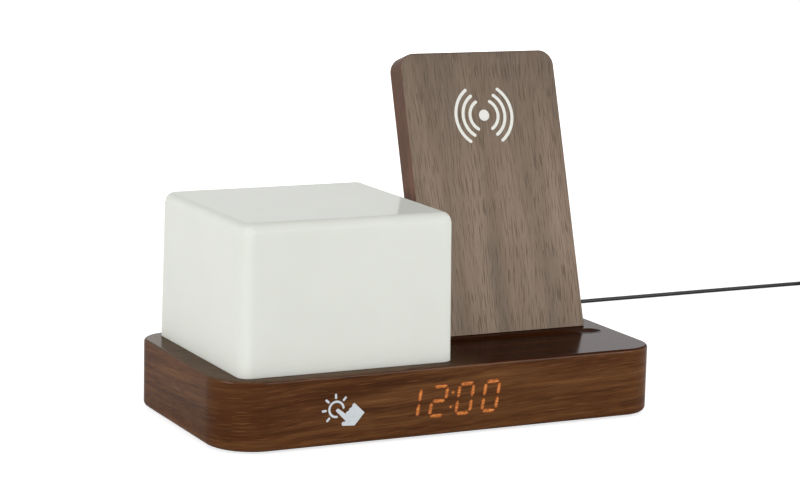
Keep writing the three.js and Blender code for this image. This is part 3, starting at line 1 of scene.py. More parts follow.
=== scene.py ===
"""Dresses a bedside clock with a night lamp, a charging stand and a captive power lead.

Metres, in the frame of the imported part: +X to the right along the front, +Y to the rear, +Z up, with
the origin on the table under the middle of the base.
"""
import json
import logging
import math
from collections.abc import Callable, Iterable, Sequence
from dataclasses import dataclass, field, replace
from enum import Enum
from typing import ClassVar

import bmesh
import bpy
from mathutils import Matrix, Vector


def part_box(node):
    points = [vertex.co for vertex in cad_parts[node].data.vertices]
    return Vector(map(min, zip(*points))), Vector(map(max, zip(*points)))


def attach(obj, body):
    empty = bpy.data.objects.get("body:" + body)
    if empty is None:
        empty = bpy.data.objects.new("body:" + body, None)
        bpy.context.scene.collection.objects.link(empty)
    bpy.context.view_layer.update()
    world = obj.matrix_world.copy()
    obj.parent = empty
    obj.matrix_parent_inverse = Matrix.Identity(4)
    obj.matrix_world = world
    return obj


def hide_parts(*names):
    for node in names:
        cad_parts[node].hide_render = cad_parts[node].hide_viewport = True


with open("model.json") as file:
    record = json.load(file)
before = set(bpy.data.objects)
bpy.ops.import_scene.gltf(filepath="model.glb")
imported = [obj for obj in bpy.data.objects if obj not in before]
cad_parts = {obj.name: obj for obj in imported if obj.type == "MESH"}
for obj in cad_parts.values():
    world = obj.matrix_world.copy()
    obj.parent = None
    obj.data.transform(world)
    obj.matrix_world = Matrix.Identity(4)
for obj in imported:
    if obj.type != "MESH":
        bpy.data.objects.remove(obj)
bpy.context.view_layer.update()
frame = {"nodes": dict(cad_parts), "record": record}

log = logging.getLogger("bedside_clock")

Point = tuple[float, float]
Place = tuple[float, float, float]
Colour = tuple[float, float, float]
Chart = Callable[[Vector], Point]
Test = Callable[[Vector, Vector], bool]
Socket = bpy.types.NodeSocket
Material = bpy.types.Material
Piece = bpy.types.Object
Mesh = bmesh.types.BMesh
Edge = bmesh.types.BMEdge
Corner = bmesh.types.BMVert

# The body that most pieces ride on, and the names of a mesh's own layers.
HOUSING = "housing"
GRAIN = "grain"
GLOW = "glow"
# The base's depth and wall, which the lead and the display need too, and the gap between pieces.
BASE_DEPTH = 0.100
BASE_WALL = 0.0025
FIT = 0.0003
# Points nearer than MERGE are one, and heights nearer than SAME are level.
MERGE = 1e-7
SAME = 1e-6
# An edge runs along an axis, and a face looks along it, from these shares of its direction on.
ALONG = 0.999
FACING = 0.7
# Nearly all of a noise lies in MOST_OF_NOISE, and BOTH_WAYS spreads it about zero.
MOST_OF_NOISE = (0.3, 0.7)
BOTH_WAYS = (-1.0, 1.0)
WHOLE = (0.0, 1.0)
WHITE = (1.0, 1.0, 1.0, 1.0)
X, Y, Z = range(3)
TO_REAR = Matrix.Rotation(-math.pi / 2, 4, "X")
TO_FRONT = Matrix.Rotation(math.pi / 2, 4, "X")


def linear(red: int, green: int, blue: int) -> Colour:
    """Turns a colour as it is seen on a screen into linear light, by the sRGB curve.

    Args:
        red: Red, from 0 to 255.
        green: Green, from 0 to 255.
        blue: Blue, from 0 to 255.

    Returns:
        The three linear values, from 0 to 1.
    """
    shares = (channel / 255 for channel in (red, green, blue))
    return tuple(s / 12.92 if s <= 0.04045 else ((s + 0.055) / 1.055) ** 2.4 for s in shares)


class Shader:
    """The node tree of one finish, built round one Principled shader."""

    def __init__(self, name: str, values: dict[str, float | tuple] | None = None) -> None:
        """Starts the tree.

        Args:
            name: The material's name.
            values: What the Principled shader's own sockets say all over the surface.
        """
        self.material = bpy.data.materials.new(name)
        self.material.use_nodes = True
        self.tree = self.material.node_tree
        self.tree.nodes.clear()
        self.surface = self.add("ShaderNodeBsdfPrincipled", values)
        output = self.add("ShaderNodeOutputMaterial")
        self.join(self.surface.outputs["BSDF"], output.inputs["Surface"])

    def add(self, kind: str, values: dict | None = None, **settings: object) -> bpy.types.Node:
        """Adds a node.

        Args:
            kind: The node's type.
            values: What its unlinked sockets say, by socket name or number.
            settings: The node's own settings.

        Returns:
            The node.
        """
        node = self.tree.nodes.new(kind)
        for name, value in settings.items():
            setattr(node, name, value)
        for socket, value in (values or {}).items():
            node.inputs[socket].default_value = value
        return node

    def join(self, source: Socket, target: Socket) -> None:
        """Links one socket to another."""
        self.tree.links.new(source, target)

    def feed(self, socket: str, source: Socket) -> None:
        """Links a pattern to one of the Principled shader's sockets."""
        self.join(source, self.surface.inputs[socket])

    def object_places(self) -> Socket:
        """Gives the piece's own coordinates."""
        return self.add("ShaderNodeTexCoord").outputs["Object"]

    def grain_places(self) -> Socket:
        """Gives the coordinates along and across the grain."""
        return self.add("ShaderNodeUVMap", uv_map=GRAIN).outputs["UV"]

    def stretched(self, places: Socket, size: Sequence[float], start: float = 0.0) -> Socket:
        """Scales places so that one unit of a pattern covers a given size.

        Args:
            places: The coordinates.
            size: The pattern's size in metres along each axis.
            start: Where in the pattern it begins, so that two patterns of one kind differ.

        Returns:
            The scaled coordinates.
        """
        scale = tuple(1 / length for length in size)
        node = self.add("ShaderNodeMapping", {"Scale": scale, "Location": (start,) * 3})
        self.join(places, node.inputs["Vector"])
        return node.outputs["Vector"]

    def noise(
        self,
        places: Socket,
        size: Sequence[float],
        detail: float = 2.0,
        rough: float = 0.5,
        start: float = 0.0,
    ) -> Socket:
        """Gives a noise whose spots have a given size.

        Args:
            places: The coordinates.
            size: The size of a spot in metres along each axis.
            detail: How many finer layers it has.
            rough: How strong the finer layers are.
            start: Where in the pattern it begins.

        Returns:
            The noise, about 0.5.
        """
        node = self.add("ShaderNodeTexNoise", {"Scale": 1.0, "Detail": detail, "Roughness": rough})
        self.join(self.stretched(places, size, start), node.inputs["Vector"])
        return node.outputs["Fac"]

    def ramp(self, value: Socket, stops: Sequence[tuple[float, Colour]]) -> Socket:
        """Turns a value into a colour.

        Args:
            value: The value.
            stops: Places on the ramp and their linear colours.

        Returns:
            The colour.
        """
        node = self.add("ShaderNodeValToRGB")
        elements = node.color_ramp.elements
        while len(elements) < len(stops):
            elements.new(1.0)
        for element, (place, colour) in zip(elements, stops):
            element.position = place
            element.color = (*colour, 1.0)
        self.join(value, node.inputs["Fac"])
        return node.outputs["Color"]

    def span(self, value: Socket, source: Point, target: Point = WHOLE) -> Socket:
        """Maps one range of a value to another, clamped.

        Args:
            value: The value.
            source: The range that it is read from.
            target: The range that it is given in.

        Returns:
            The mapped value.
        """
        limits = {"From Min": source[0], "From Max": source[1], "To Min": target[0], "To Max": target[1]}
        node = self.add("ShaderNodeMapRange", limits)
        self.join(value, node.inputs["Value"])
        return node.outputs["Result"]

    def mix(self, share: Socket, first: Socket, second: Colour) -> Socket:
        """Lays a plain colour over another by a pattern.

        Args:
            share: How much of the second colour there is.
            first: The first colour.
            second: The second colour.

        Returns:
            The mixed colour.
        """
        # The node has a pair A and B for numbers and for vectors too, so its colours go by number.
        factor, colour_a, colour_b, result = 0, 6, 7, 2
        node = self.add("ShaderNodeMix", {colour_b: (*second, 1.0)}, data_type="RGBA", blend_type="MIX")
        self.join(share, node.inputs[factor])
        self.join(first, node.inputs[colour_a])
        return node.outputs[result]

    def sum(self, first: Socket, second: Socket, share: float) -> Socket:
        """Adds a share of a second value to a first one.

        Args:
            first: The first value.
            second: The second value.
            share: How much of the second value is added.

        Returns:
            The sum.
        """
        multiplied, by, added = 0, 1, 2
        node = self.add("ShaderNodeMath", {by: share}, operation="MULTIPLY_ADD")
        self.join(second, node.inputs[multiplied])
        self.join(first, node.inputs[added])
        return node.outputs[0]

    def bump(self, height: Socket, depth: float) -> None:
        """Raises the surface by a pattern.

        Args:
            height: The pattern, from 0 to 1.
            depth: How high 1 stands, in metres.
        """
        node = self.add("ShaderNodeBump", {"Distance": depth, "Strength": 1.0})
        self.join(height, node.inputs["Height"])
        self.feed("Normal", node.outputs["Normal"])


@dataclass(frozen=True)
class Flecks:
    """Short marks along the grain, darker or lighter than the wood round them."""

    colour: Colour
    length: float
    width: float
    threshold: Point
    strength: float
    start: float = 0.0


@dataclass(frozen=True)
class Stain:
    """Broad clouds of another tone in the wood."""

    colour: Colour
    size: Point
    threshold: Point
    strength: float
    start: float = 0.0


@dataclass(frozen=True)
class PaintedEndLight:
    """Painted light or shade towards one end of a leaf of veneer: a paler or darker colour laid along
    the grain where light or shade falls.
    """

    colour: Colour
    fade: Point
    strength: float


@dataclass(frozen=True)
class Veneer:
    """Walnut veneer whose grain runs along the first grain coordinate."""

    name: str
    shades: tuple[Colour, ...]
    shade_stops: tuple[float, ...]
    band_size: Point
    fibre_size: Point
    fibre_strength: float
    stain: Stain
    pores: Flecks
    glints: Flecks
    sway: float
    relief: float
    roughness: float
    specular: float
    coat: float
    coat_ior: float = 1.25
    coat_roughness: float = 0.14
    painted_end_light: PaintedEndLight | None = None
    sway_size: Point = (0.11, 0.035)
    patch_size: Point = (0.05, 0.012)
    patch_range: Point = (0.35, 0.65)
    patch_pull: float = 0.025
    smoother: float = 0.05
    rougher: float = 0.08
    fibre_relief: float = 0.35

    def swayed(self, shader: Shader) -> Socket:
        """Lets the grain's lines wander a little from side to side.

        Args:
            shader: The veneer's tree.

        Returns:
            The coordinates along and across the wandering grain.
        """
        places = shader.grain_places()
        drift = shader.add("ShaderNodeTexNoise", {"Scale": 1.0, "Detail": 2.0})
        shader.join(shader.stretched(places, (*self.sway_size, 1.0)), drift.inputs["Vector"])
        moved = shader.add("ShaderNodeVectorMath", {1: (0.0, self.sway, 0.0)}, operation="MULTIPLY_ADD")
        shader.join(drift.outputs["Color"], moved.inputs[0])
        shader.join(places, moved.inputs[2])
        return moved.outputs["Vector"]

    def stain_and_painted_end_light(self, shader: Shader, wood: Socket, colour: Socket) -> Socket:
        """Lays the stain and, where the veneer has one, the painted light or shade towards one end over
        its colour.

        Args:
            shader: The veneer's tree.
            wood: The coordinates along and across the grain.
            colour: The colour so far.

        Returns:
            The stained colour.
        """
        clouds = shader.noise(wood, (*self.stain.size, 1.0), start=self.stain.start)
        share = shader.span(clouds, self.stain.threshold, (0.0, self.stain.strength))
        colour = shader.mix(share, colour, self.stain.colour)
        # Painted light or shade: a plain colour mixed in more strongly towards one end of the grain.
        if self.painted_end_light:
            along = shader.add("ShaderNodeSeparateXYZ")
            shader.join(wood, along.inputs["Vector"])
            share = shader.span(along.outputs["X"], self.painted_end_light.fade, (self.painted_end_light.strength, 0.0))
            colour = shader.mix(share, colour, self.painted_end_light.colour)
        return colour

    def fleck_mask(self, shader: Shader, wood: Socket, pull: Socket, flecks: Flecks) -> Socket:
        """Finds where the flecks lie, more of them in some patches than in others.

        Args:
            shader: The veneer's tree.
            wood: The coordinates along and across the grain.
            pull: The patches, from -1 where flecks are few to 1 where they are many.
            flecks: The kind of flecks.

        Returns:
            The mask, 1 on a fleck.
        """
        size = (flecks.length, flecks.width, 1.0)
        marks = shader.noise(wood, size, detail=1.0, rough=0.3, start=flecks.start)
        return shader.span(shader.sum(marks, pull, self.patch_pull), flecks.threshold)

    def material(self) -> Material:
        """Builds the veneer with bands of colour, fibres, dark pores and light glints.

        Returns:
            The material.
        """
        values = {
            "Specular IOR Level": self.specular,
            "Coat Weight": self.coat,
            "Coat IOR": self.coat_ior,
            "Coat Roughness": self.coat_roughness,
        }
        shader = Shader(self.name, values)
        wood = self.swayed(shader)
        bands = shader.noise(wood, (*self.band_size, 1.0), detail=4.0, rough=0.62)
        fibres = shader.noise(wood, (*self.fibre_size, 1.0), detail=3.0, rough=0.7)
        mottled = shader.sum(bands, shader.span(fibres, MOST_OF_NOISE, BOTH_WAYS), self.fibre_strength)
        colour = shader.ramp(mottled, tuple(zip(self.shade_stops, self.shades)))
        colour = self.stain_and_painted_end_light(shader, wood, colour)
        patches = shader.noise(wood, (*self.patch_size, 1.0))
        pull = shader.span(patches, self.patch_range, BOTH_WAYS)
        glints = self.fleck_mask(shader, wood, pull, self.glints)
        pores = self.fleck_mask(shader, wood, pull, self.pores)
        for flecks, mask in ((self.glints, glints), (self.pores, pores)):
            share = shader.span(mask, WHOLE, (0.0, flecks.strength))
            colour = shader.mix(share, colour, flecks.colour)
        shader.feed("Base Color", colour)
        rough_range = (self.roughness - self.smoother, self.roughness + self.rougher)
        shader.feed("Roughness", shader.span(fibres, MOST_OF_NOISE, rough_range))
        ridges = shader.span(fibres, MOST_OF_NOISE, (0.0, self.fibre_relief))
        shader.bump(shader.sum(ridges, pores, -1.0), self.relief)
        return shader.material


@dataclass(frozen=True)
class Moulded:
    """A moulded plastic or rubber with a fine skin and a slightly uneven colour."""

    name: str
    colour: Colour
    roughness: float
    skin_size: float = 0.0005
    skin_depth: float = 0.00003
    unevenness: float = 0.12
    milky: float = 0.0
    milky_depth: float = 0.006
    milky_spread: Place = (1.0, 1.0, 0.92)
    specular: float = 0.5
    coat: float = 0.0
    coat_ior: float = 1.5
    coat_roughness: float = 0.12
    cloud_size: float = 0.02
    roughness_swing: float = 0.04

    def material(self) -> Material:
        """Builds the plastic's colour, roughness and skin.

        Returns:
            The material.
        """
        values = {
            "Subsurface Weight": self.milky,
            "Subsurface Radius": self.milky_spread,
            "Subsurface Scale": self.milky_depth,
            "Specular IOR Level": self.specular,
            "Coat Weight": self.coat,
            "Coat IOR": self.coat_ior,
            "Coat Roughness": self.coat_roughness,
        }
        shader = Shader(self.name, values)
        places = shader.object_places()
        clouds = shader.noise(places, (self.cloud_size,) * 3, detail=3.0)
        darker = tuple(channel * (1 - self.unevenness) for channel in self.colour)
        lighter = tuple(min(1.0, channel * (1 + self.unevenness)) for channel in self.colour)
        shader.feed("Base Color", shader.ramp(clouds, tuple(zip(MOST_OF_NOISE, (darker, lighter)))))
        skin = shader.noise(places, (self.skin_size,) * 3)
        rough_range = (self.roughness - self.roughness_swing, self.roughness + self.roughness_swing)
        shader.feed("Roughness", shader.span(skin, MOST_OF_NOISE, rough_range))
        shader.bump(skin, self.skin_depth)
        return shader.material


@dataclass(frozen=True)
class Metal:
    """A plated or drawn metal with fine scratches along one axis."""

    name: str
    colour: Colour
    roughness: float
    scratch_size: Place = (0.004, 0.00015, 0.00015)
    scratch_depth: float = 0.000004
    tone_size: float = 0.003
    tone_range: Point = (0.35, 0.65)
    dull_share: float = 0.82
    smoother: float = 0.08
    rougher: float = 0.1

    def material(self) -> Material:
        """Builds the metal's tone and its scratches.

        Returns:
            The material.
        """
        shader = Shader(self.name, {"Metallic": 1.0})
        places = shader.object_places()
        tone = shader.noise(places, (self.tone_size,) * 3, detail=3.0)
        dull = tuple(channel * self.dull_share for channel in self.colour)
        shader.feed("Base Color", shader.ramp(tone, tuple(zip(self.tone_range, (dull, self.colour)))))
        scratches = shader.noise(places, self.scratch_size)
        rough_range = (self.roughness - self.smoother, self.roughness + self.rougher)
        shader.feed("Roughness", shader.span(scratches, MOST_OF_NOISE, rough_range))
        shader.bump(scratches, self.scratch_depth)
        return shader.material


@dataclass(frozen=True)
class Board:
    """A circuit board's solder mask over its copper tracks."""

    name: str
    mask: Colour
    track: Colour
    track_pitch: float = 0.0018
    track_width: float = 0.12
    track_strength: float = 0.6
    track_height: float = 0.00003
    cloud_size: float = 0.01
    deep_share: float = 0.8
    roughness: Point = (0.4, 0.5)
    coat: float = 0.4
    coat_roughness: float = 0.2

    def material(self) -> Material:
        """Builds the mask, a little lighter where a track runs under it.

        Returns:
            The material.
        """
        shader = Shader(self.name, {"Coat Weight": self.coat, "Coat Roughness": self.coat_roughness})
        places = shader.object_places()
        cells = shader.add("ShaderNodeTexBrick", {"Scale": 1.0, "Mortar Size": self.track_width})
        shader.join(shader.stretched(places, (self.track_pitch,) * 3), cells.inputs["Vector"])
        tracks = shader.span(cells.outputs["Fac"], WHOLE, (0.0, self.track_strength))
        clouds = shader.noise(places, (self.cloud_size,) * 3)
        deeper = tuple(channel * self.deep_share for channel in self.mask)
        mask = shader.ramp(clouds, tuple(zip(MOST_OF_NOISE, (deeper, self.mask))))
        shader.feed("Base Color", shader.mix(tracks, mask, self.track))
        shader.feed("Roughness", shader.span(clouds, MOST_OF_NOISE, self.roughness))
        shader.bump(tracks, self.track_height)
        return shader.material


@dataclass(frozen=True)
class Ink:
    """Printed ink, a little uneven where it lies over the grain."""

    name: str
    colour: Colour
    film_size: float = 0.0012
    film_depth: float = 0.000008
    film_range: Point = (0.3, 0.6)
    thin_share: float = 0.94
    roughness: Point = (0.45, 0.6)
    coat: float = 0.3
    coat_roughness: float = 0.3

    def material(self) -> Material:
        """Builds the ink, thinner and rougher in places.

        Returns:
            The material.
        """
        shader = Shader(self.name, {"Coat Weight": self.coat, "Coat Roughness": self.coat_roughness})
        film = shader.noise(shader.object_places(), (self.film_size,) * 3, detail=3.0)
        thin = tuple(channel * self.thin_share for channel in self.colour)
        shader.feed("Base Color", shader.ramp(film, tuple(zip(self.film_range, (thin, self.colour)))))
        shader.feed("Roughness", shader.span(film, MOST_OF_NOISE, self.roughness))
        shader.bump(film, self.film_depth)
        return shader.material


@dataclass(frozen=True)
class Glow:
    """Lamp light that shows through thin veneer, dimmed by its grain and soft at the rim."""

    name: str
    rim: Colour
    body: Colour
    core: Colour
    wood: Colour = (0.02, 0.008, 0.003)
    roughness: Point = (0.35, 0.5)
    grain_size: Place = (0.006, 0.01, 0.00045)
    grain_range: Point = (0.25, 0.75)
    grain_strength: float = 0.45
    spot_size: Place = (0.0012, 0.01, 0.0009)
    spot_strength: float = 0.22

    def material(self) -> Material:
        """Builds the light from the distance to the rim and the grain that it comes through.

        Returns:
            The material.
        """
        values = {"Base Color": (*self.wood, 1.0), "Emission Strength": 1.0, "Specular IOR Level": 0.1}
        shader = Shader(self.name, values)
        inside = shader.add("ShaderNodeAttribute", attribute_name=GLOW).outputs["Fac"]
        places = shader.object_places()
        grain = shader.noise(places, self.grain_size, detail=3.0, rough=0.65)
        spots = shader.noise(places, self.spot_size)
        dimmed = shader.sum(inside, shader.span(grain, self.grain_range, BOTH_WAYS), self.grain_strength)
        blotched = shader.sum(dimmed, shader.span(spots, MOST_OF_NOISE, BOTH_WAYS), self.spot_strength)
        stops = ((0.0, self.rim), (0.5, self.body), (1.0, self.core))
        shader.feed("Emission Color", shader.ramp(blotched, stops))
        shader.feed("Roughness", shader.span(grain, MOST_OF_NOISE, self.roughness))
        return shader.material


Recipe = Veneer | Moulded | Metal | Board | Ink | Glow


class Finish(Enum):
    """Every finish on the object, by the name of its slot."""

    WALNUT = "walnut"
    GREY_WALNUT = "grey_walnut"
    OPAL = "opal"
    BLACK_PLASTIC = "black_plastic"
    BUTTON_PLASTIC = "button_plastic"
    WHITE_PLASTIC = "white_plastic"
    LED = "led"
    CIRCUIT_BOARD = "circuit_board"
    FOOT_RUBBER = "foot_rubber"
    LEAD_JACKET = "lead_jacket"
    SCREW_STEEL = "screw_steel"
    PLUG_METAL = "plug_metal"
    COPPER = "copper"
    FERRITE = "ferrite"


RECIPES = {
    Finish.WALNUT: Veneer(
        name="walnut",
        shades=(linear(66, 36, 14), linear(88, 52, 25), linear(101, 64, 34), linear(118, 78, 43)),
        shade_stops=(0.32, 0.45, 0.57, 0.72),
        band_size=(0.09, 0.0034),
        fibre_size=(0.014, 0.00042),
        fibre_strength=0.05,
        # Partly wood tone, partly painted sheen: a broad darker cloud whose start puts it over the left
        # of the front and leaves the right of the front paler, where the front catches more sheen.
        stain=Stain(
            linear(64, 30, 7), size=(0.15, 0.03), threshold=(0.42, 0.58), strength=0.6, start=4.9
        ),
        pores=Flecks(
            linear(50, 25, 9),
            length=0.013, width=0.0005, threshold=(0.58, 0.68), strength=0.45,
        ),
        glints=Flecks(
            linear(124, 82, 46),
            length=0.009, width=0.0004, threshold=(0.61, 0.70), strength=0.4, start=31.7,
        ),
        sway=0.006,
        relief=0.00001,
        roughness=0.45,
        specular=0.0,
        coat=0.75,
    ),
    Finish.GREY_WALNUT: Veneer(
        name="grey_walnut",
        shades=(
            linear(122, 105, 89), linear(138, 119, 102), linear(147, 128, 110), linear(159, 140, 121)
        ),
        shade_stops=(0.30, 0.44, 0.56, 0.72),
        band_size=(0.16, 0.012),
        fibre_size=(0.010, 0.0004),
        fibre_strength=0.06,
        stain=Stain(
            linear(102, 95, 84), size=(0.14, 0.014), threshold=(0.42, 0.62), strength=0.34, start=2.1
        ),
        pores=Flecks(
            linear(72, 58, 47),
            length=0.010, width=0.00048, threshold=(0.585, 0.62), strength=0.52,
        ),
        glints=Flecks(
            linear(156, 142, 128),
            length=0.008, width=0.0003, threshold=(0.62, 0.72), strength=0.3, start=17.3,
        ),
        sway=0.008,
        relief=0.00004,
        roughness=0.6,
        specular=0.2,
        coat=0.0,
        # Painted shade: the panel darker towards its top end, up the slope, where less light falls.
        painted_end_light=PaintedEndLight(linear(96, 82, 70), fade=(0.14, 0.045), strength=0.72),
    ),
    Finish.OPAL: Moulded(
        name="opal",
        colour=linear(232, 235, 225),
        roughness=0.38,
        skin_size=0.0009,
        skin_depth=0.000004,
        unevenness=0.01,
        milky=0.35,
        specular=0.0,
        coat=0.2,
        coat_ior=1.25,
    ),
    Finish.BLACK_PLASTIC: Moulded("black_plastic", linear(38, 37, 36), 0.55),
    Finish.BUTTON_PLASTIC: Moulded("button_plastic", linear(34, 34, 34), 0.4, skin_depth=0.00001),
    Finish.WHITE_PLASTIC: Moulded("white_plastic", linear(226, 225, 220), 0.5, unevenness=0.03),
    Finish.LED: Moulded(
        "led", linear(228, 206, 116), 0.35, unevenness=0.05, milky=0.2, milky_depth=0.001
    ),
    Finish.CIRCUIT_BOARD: Board("circuit_board", linear(28, 96, 58), linear(70, 140, 90)),
    Finish.FOOT_RUBBER: Moulded(
        "foot_rubber", linear(40, 39, 38), 0.85, skin_size=0.0004, skin_depth=0.00004
    ),
    Finish.LEAD_JACKET: Moulded(
        "lead_jacket", linear(25, 25, 26), 0.36, skin_size=0.0006, skin_depth=0.000012, unevenness=0.08
    ),
    Finish.SCREW_STEEL: Metal("screw_steel", linear(196, 198, 200), 0.32),
    Finish.PLUG_METAL: Metal("plug_metal", linear(205, 207, 210), 0.22),
    Finish.COPPER: Metal("copper", linear(196, 122, 76), 0.35, scratch_size=(0.00025, 0.02, 0.00025)),
    Finish.FERRITE: Moulded("ferrite", linear(66, 66, 70), 0.8),
}
# Painted shade: a darker copy of the walnut for the roof's faces, standing in for the shadow and the
# dark reflection on the roof between the lamp and the stand.
PAINTED_SHADE_ROOF_WALNUT = replace(
    RECIPES[Finish.WALNUT],
    name="painted_shade_roof_walnut",
    shades=(linear(37, 12, 1), linear(50, 19, 2), linear(59, 25, 4), linear(73, 35, 8)),
    stain=Stain(
        linear(40, 17, 4), size=(0.07, 0.012), threshold=(0.42, 0.66), strength=0.5
    ),
    pores=Flecks(
        linear(28, 10, 2),
        length=0.011, width=0.00045, threshold=(0.57, 0.66), strength=0.5,
    ),
    glints=Flecks(
        linear(72, 38, 14),
        length=0.006, width=0.00035, threshold=(0.60, 0.70), strength=0.4, start=31.7,
    ),
    coat=0.26,
    # Painted reflection: the roof paler towards the left, round the lamp, where it mirrors the opal
    # shade.
    painted_end_light=PaintedEndLight(linear(104, 84, 66), fade=(-0.02, 0.02), strength=0.75),
)
EDGE_WALNUT = replace(
    RECIPES[Finish.GREY_WALNUT],
    name="edge_walnut",
    shades=(linear(93, 64, 51), linear(108, 78, 64), linear(117, 85, 70), linear(130, 96, 80)),
    stain=Stain(
        linear(86, 68, 60), size=(0.045, 0.016), threshold=(0.44, 0.64), strength=0.5
    ),
    pores=Flecks(
        linear(60, 42, 33),
        length=0.009, width=0.00034, threshold=(0.59, 0.66), strength=0.5,
    ),
    glints=Flecks(
        linear(128, 104, 88),
        length=0.008, width=0.0003, threshold=(0.62, 0.72), strength=0.3, start=17.3,
    ),
    painted_end_light=None,
)
LIGHT_THROUGH_VENEER = Glow(
    "display_light", rim=linear(88, 46, 20), body=linear(176, 98, 44), core=linear(232, 148, 76)
)
WHITE_INK = Ink("white_ink", linear(208, 214, 218))
STAND_INK = Ink("stand_ink", linear(229, 229, 221))


class Wardrobe:
    """Makes each finish once and hands it out."""

    def __init__(self) -> None:
        """Starts with nothing made."""
        self.made: dict[str, Material] = {}

    def give(self, recipe: Recipe) -> Material:
        """Gives the material of a recipe, made on its first use.

        Args:
            recipe: The recipe.

        Returns:
            The material.
        """
        if recipe.name not in self.made:
            self.made[recipe.name] = recipe.material()
        return self.made[recipe.name]

    def dress_cad_nodes(self) -> int:
        """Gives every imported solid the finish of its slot.

        Returns:
            How many solids were dressed.
        """
        slots = {row["node"]: row["material_slot"] for row in frame["record"]["subparts"]}
        for name, node in frame["nodes"].items():
            node.data.materials.clear()
            node.data.materials.append(self.give(RECIPES[Finish(slots[name])]))
        return len(slots)


WARDROBE = Wardrobe()


def at(x: float, y: float, z: float) -> Matrix:
    """Gives the matrix that moves a shape to a place."""
    return Matrix.Translation((x, y, z))


def eased(share: float) -> float:
    """Turns an even share of a way, from 0 to 1, into one that starts and ends gently."""
    return share * share * (3 - 2 * share)


def block(low: Sequence[float], high: Sequence[float], mesh: Mesh | None = None) -> Mesh:
    """Makes a box between two corners.

    Args:
        low: The lower corner.
        high: The upper corner.
        mesh: The mesh that the box is added to, if not one of its own.

    Returns:
        The mesh with the box.
    """
    mesh = bmesh.new() if mesh is None else mesh
    size = Vector(high) - Vector(low)
    centre = (Vector(high) + Vector(low)) / 2
    bmesh.ops.create_cube(mesh, size=1.0, matrix=Matrix.LocRotScale(centre, None, size))
    return mesh


def edges_where(mesh: Mesh, test: Test) -> list[Edge]:
    """Lists the edges whose two ends pass a test."""
    return [edge for edge in mesh.edges if test(edge.verts[0].co, edge.verts[1].co)]


def round_off(
    mesh: Mesh, parts: Iterable[Edge | Corner], reach: float, segments: int = 6, affect: str = "EDGES"
) -> None:
    """Rounds edges, or the corners of flat outlines.

    Args:
        mesh: The mesh.
        parts: The edges or corners to round.
        reach: The radius at an edge, or how far from a corner its round starts.
        segments: How many steps each round has.
        affect: EDGES for edges and VERTICES for corners.
    """
    bmesh.ops.bevel(
        mesh,
        geom=list(parts),
        offset=reach,
        offset_type="OFFSET",
        affect=affect,
        segments=segments,
        profile=0.5,
        material=-1,
        loop_slide=True,
        clamp_overlap=affect == "VERTICES",
    )


def level(axis: int, height: float) -> Test:
    """Gives a test for edges that lie in one plane across an axis."""
    return lambda a, b: abs(a[axis] - height) < SAME and abs(b[axis] - height) < SAME


def standing(axis: int) -> Test:
    """Gives a test for edges that run along an axis."""
    return lambda a, b: abs((b - a).normalized()[axis]) > ALONG


def turned(profile: Sequence[Point], place: Matrix, segments: int = 48) -> Mesh:
    """Spins a profile of radius and height about Z into a closed solid and puts it in place.

    Args:
        profile: The profile's points, from the axis back to the axis.
        place: Where the solid goes.
        segments: How many steps a full turn has.

    Returns:
        The solid.
    """
    mesh = bmesh.new()
    corners = [mesh.verts.new((radius, 0.0, height)) for radius, height in profile]
    lines = [mesh.edges.new(pair) for pair in zip(corners, corners[1:])]
    bmesh.ops.spin(
        mesh,
        geom=[*corners, *lines],
        cent=(0.0, 0.0, 0.0),
        axis=(0.0, 0.0, 1.0),
        angle=2 * math.pi,
        steps=segments,
        use_merge=True,
    )
    bmesh.ops.remove_doubles(mesh, verts=mesh.verts, dist=MERGE)
    bmesh.ops.recalc_face_normals(mesh, faces=mesh.faces)
    bmesh.ops.transform(mesh, matrix=place, verts=mesh.verts)
    return mesh


def rod(diameter: float, low: float, high: float, place: Matrix, segments: int = 32) -> Mesh:
    """Makes a plain round bar along the Z of its place."""
    radius = diameter / 2
    return turned([(0.0, low), (radius, low), (radius, high), (0.0, high)], place, segments)


def as_object(name: str, mesh: Mesh) -> Piece:
    """Turns a bmesh into an object of the scene and frees it.

    Args:
        name: The object's name.
        mesh: The bmesh.

    Returns:
        The object.
    """
    data = bpy.data.meshes.new(name)
    mesh.to_mesh(data)
    mesh.free()
    made = bpy.data.objects.new(name, data)
    bpy.context.scene.collection.objects.link(made)
    return made


def carve(target: Piece, cutters: Sequence[Mesh]) -> None:
    """Cuts solids out of an object and keeps the result as its mesh.

    Args:
        target: The object that is cut.
        cutters: The solids that are cut out.
    """
    tools = [as_object(f"cutter_{number}", cutter) for number, cutter in enumerate(cutters)]
    for tool in tools:
        modifier = target.modifiers.new("carve", "BOOLEAN")
        modifier.operation = "DIFFERENCE"
        modifier.solver = "EXACT"
        modifier.object = tool
    keep_modified(target)
    for tool in tools:
        bpy.data.objects.remove(tool)


def keep_modified(target: Piece) -> None:
    """Makes an object's modified mesh its own mesh and drops the modifiers.

    Args:
        target: The object.
    """
    depsgraph = bpy.context.evaluated_depsgraph_get()
    made = bpy.data.meshes.new_from_object(target.evaluated_get(depsgraph))
    target.modifiers.clear()
    target.data = made


def veneer_over(target: Piece, recipe: Veneer, test: Test) -> None:
    """Gives some faces a veneer of their own.

    Args:
        target: The object.
        recipe: The veneer.
        test: Tells from a face's middle and normal whether it gets the veneer.
    """
    target.data.materials.append(WARDROBE.give(recipe))
    last = len(target.data.materials) - 1
    for face in target.data.polygons:
        if test(face.center, face.normal):
            face.material_index = last


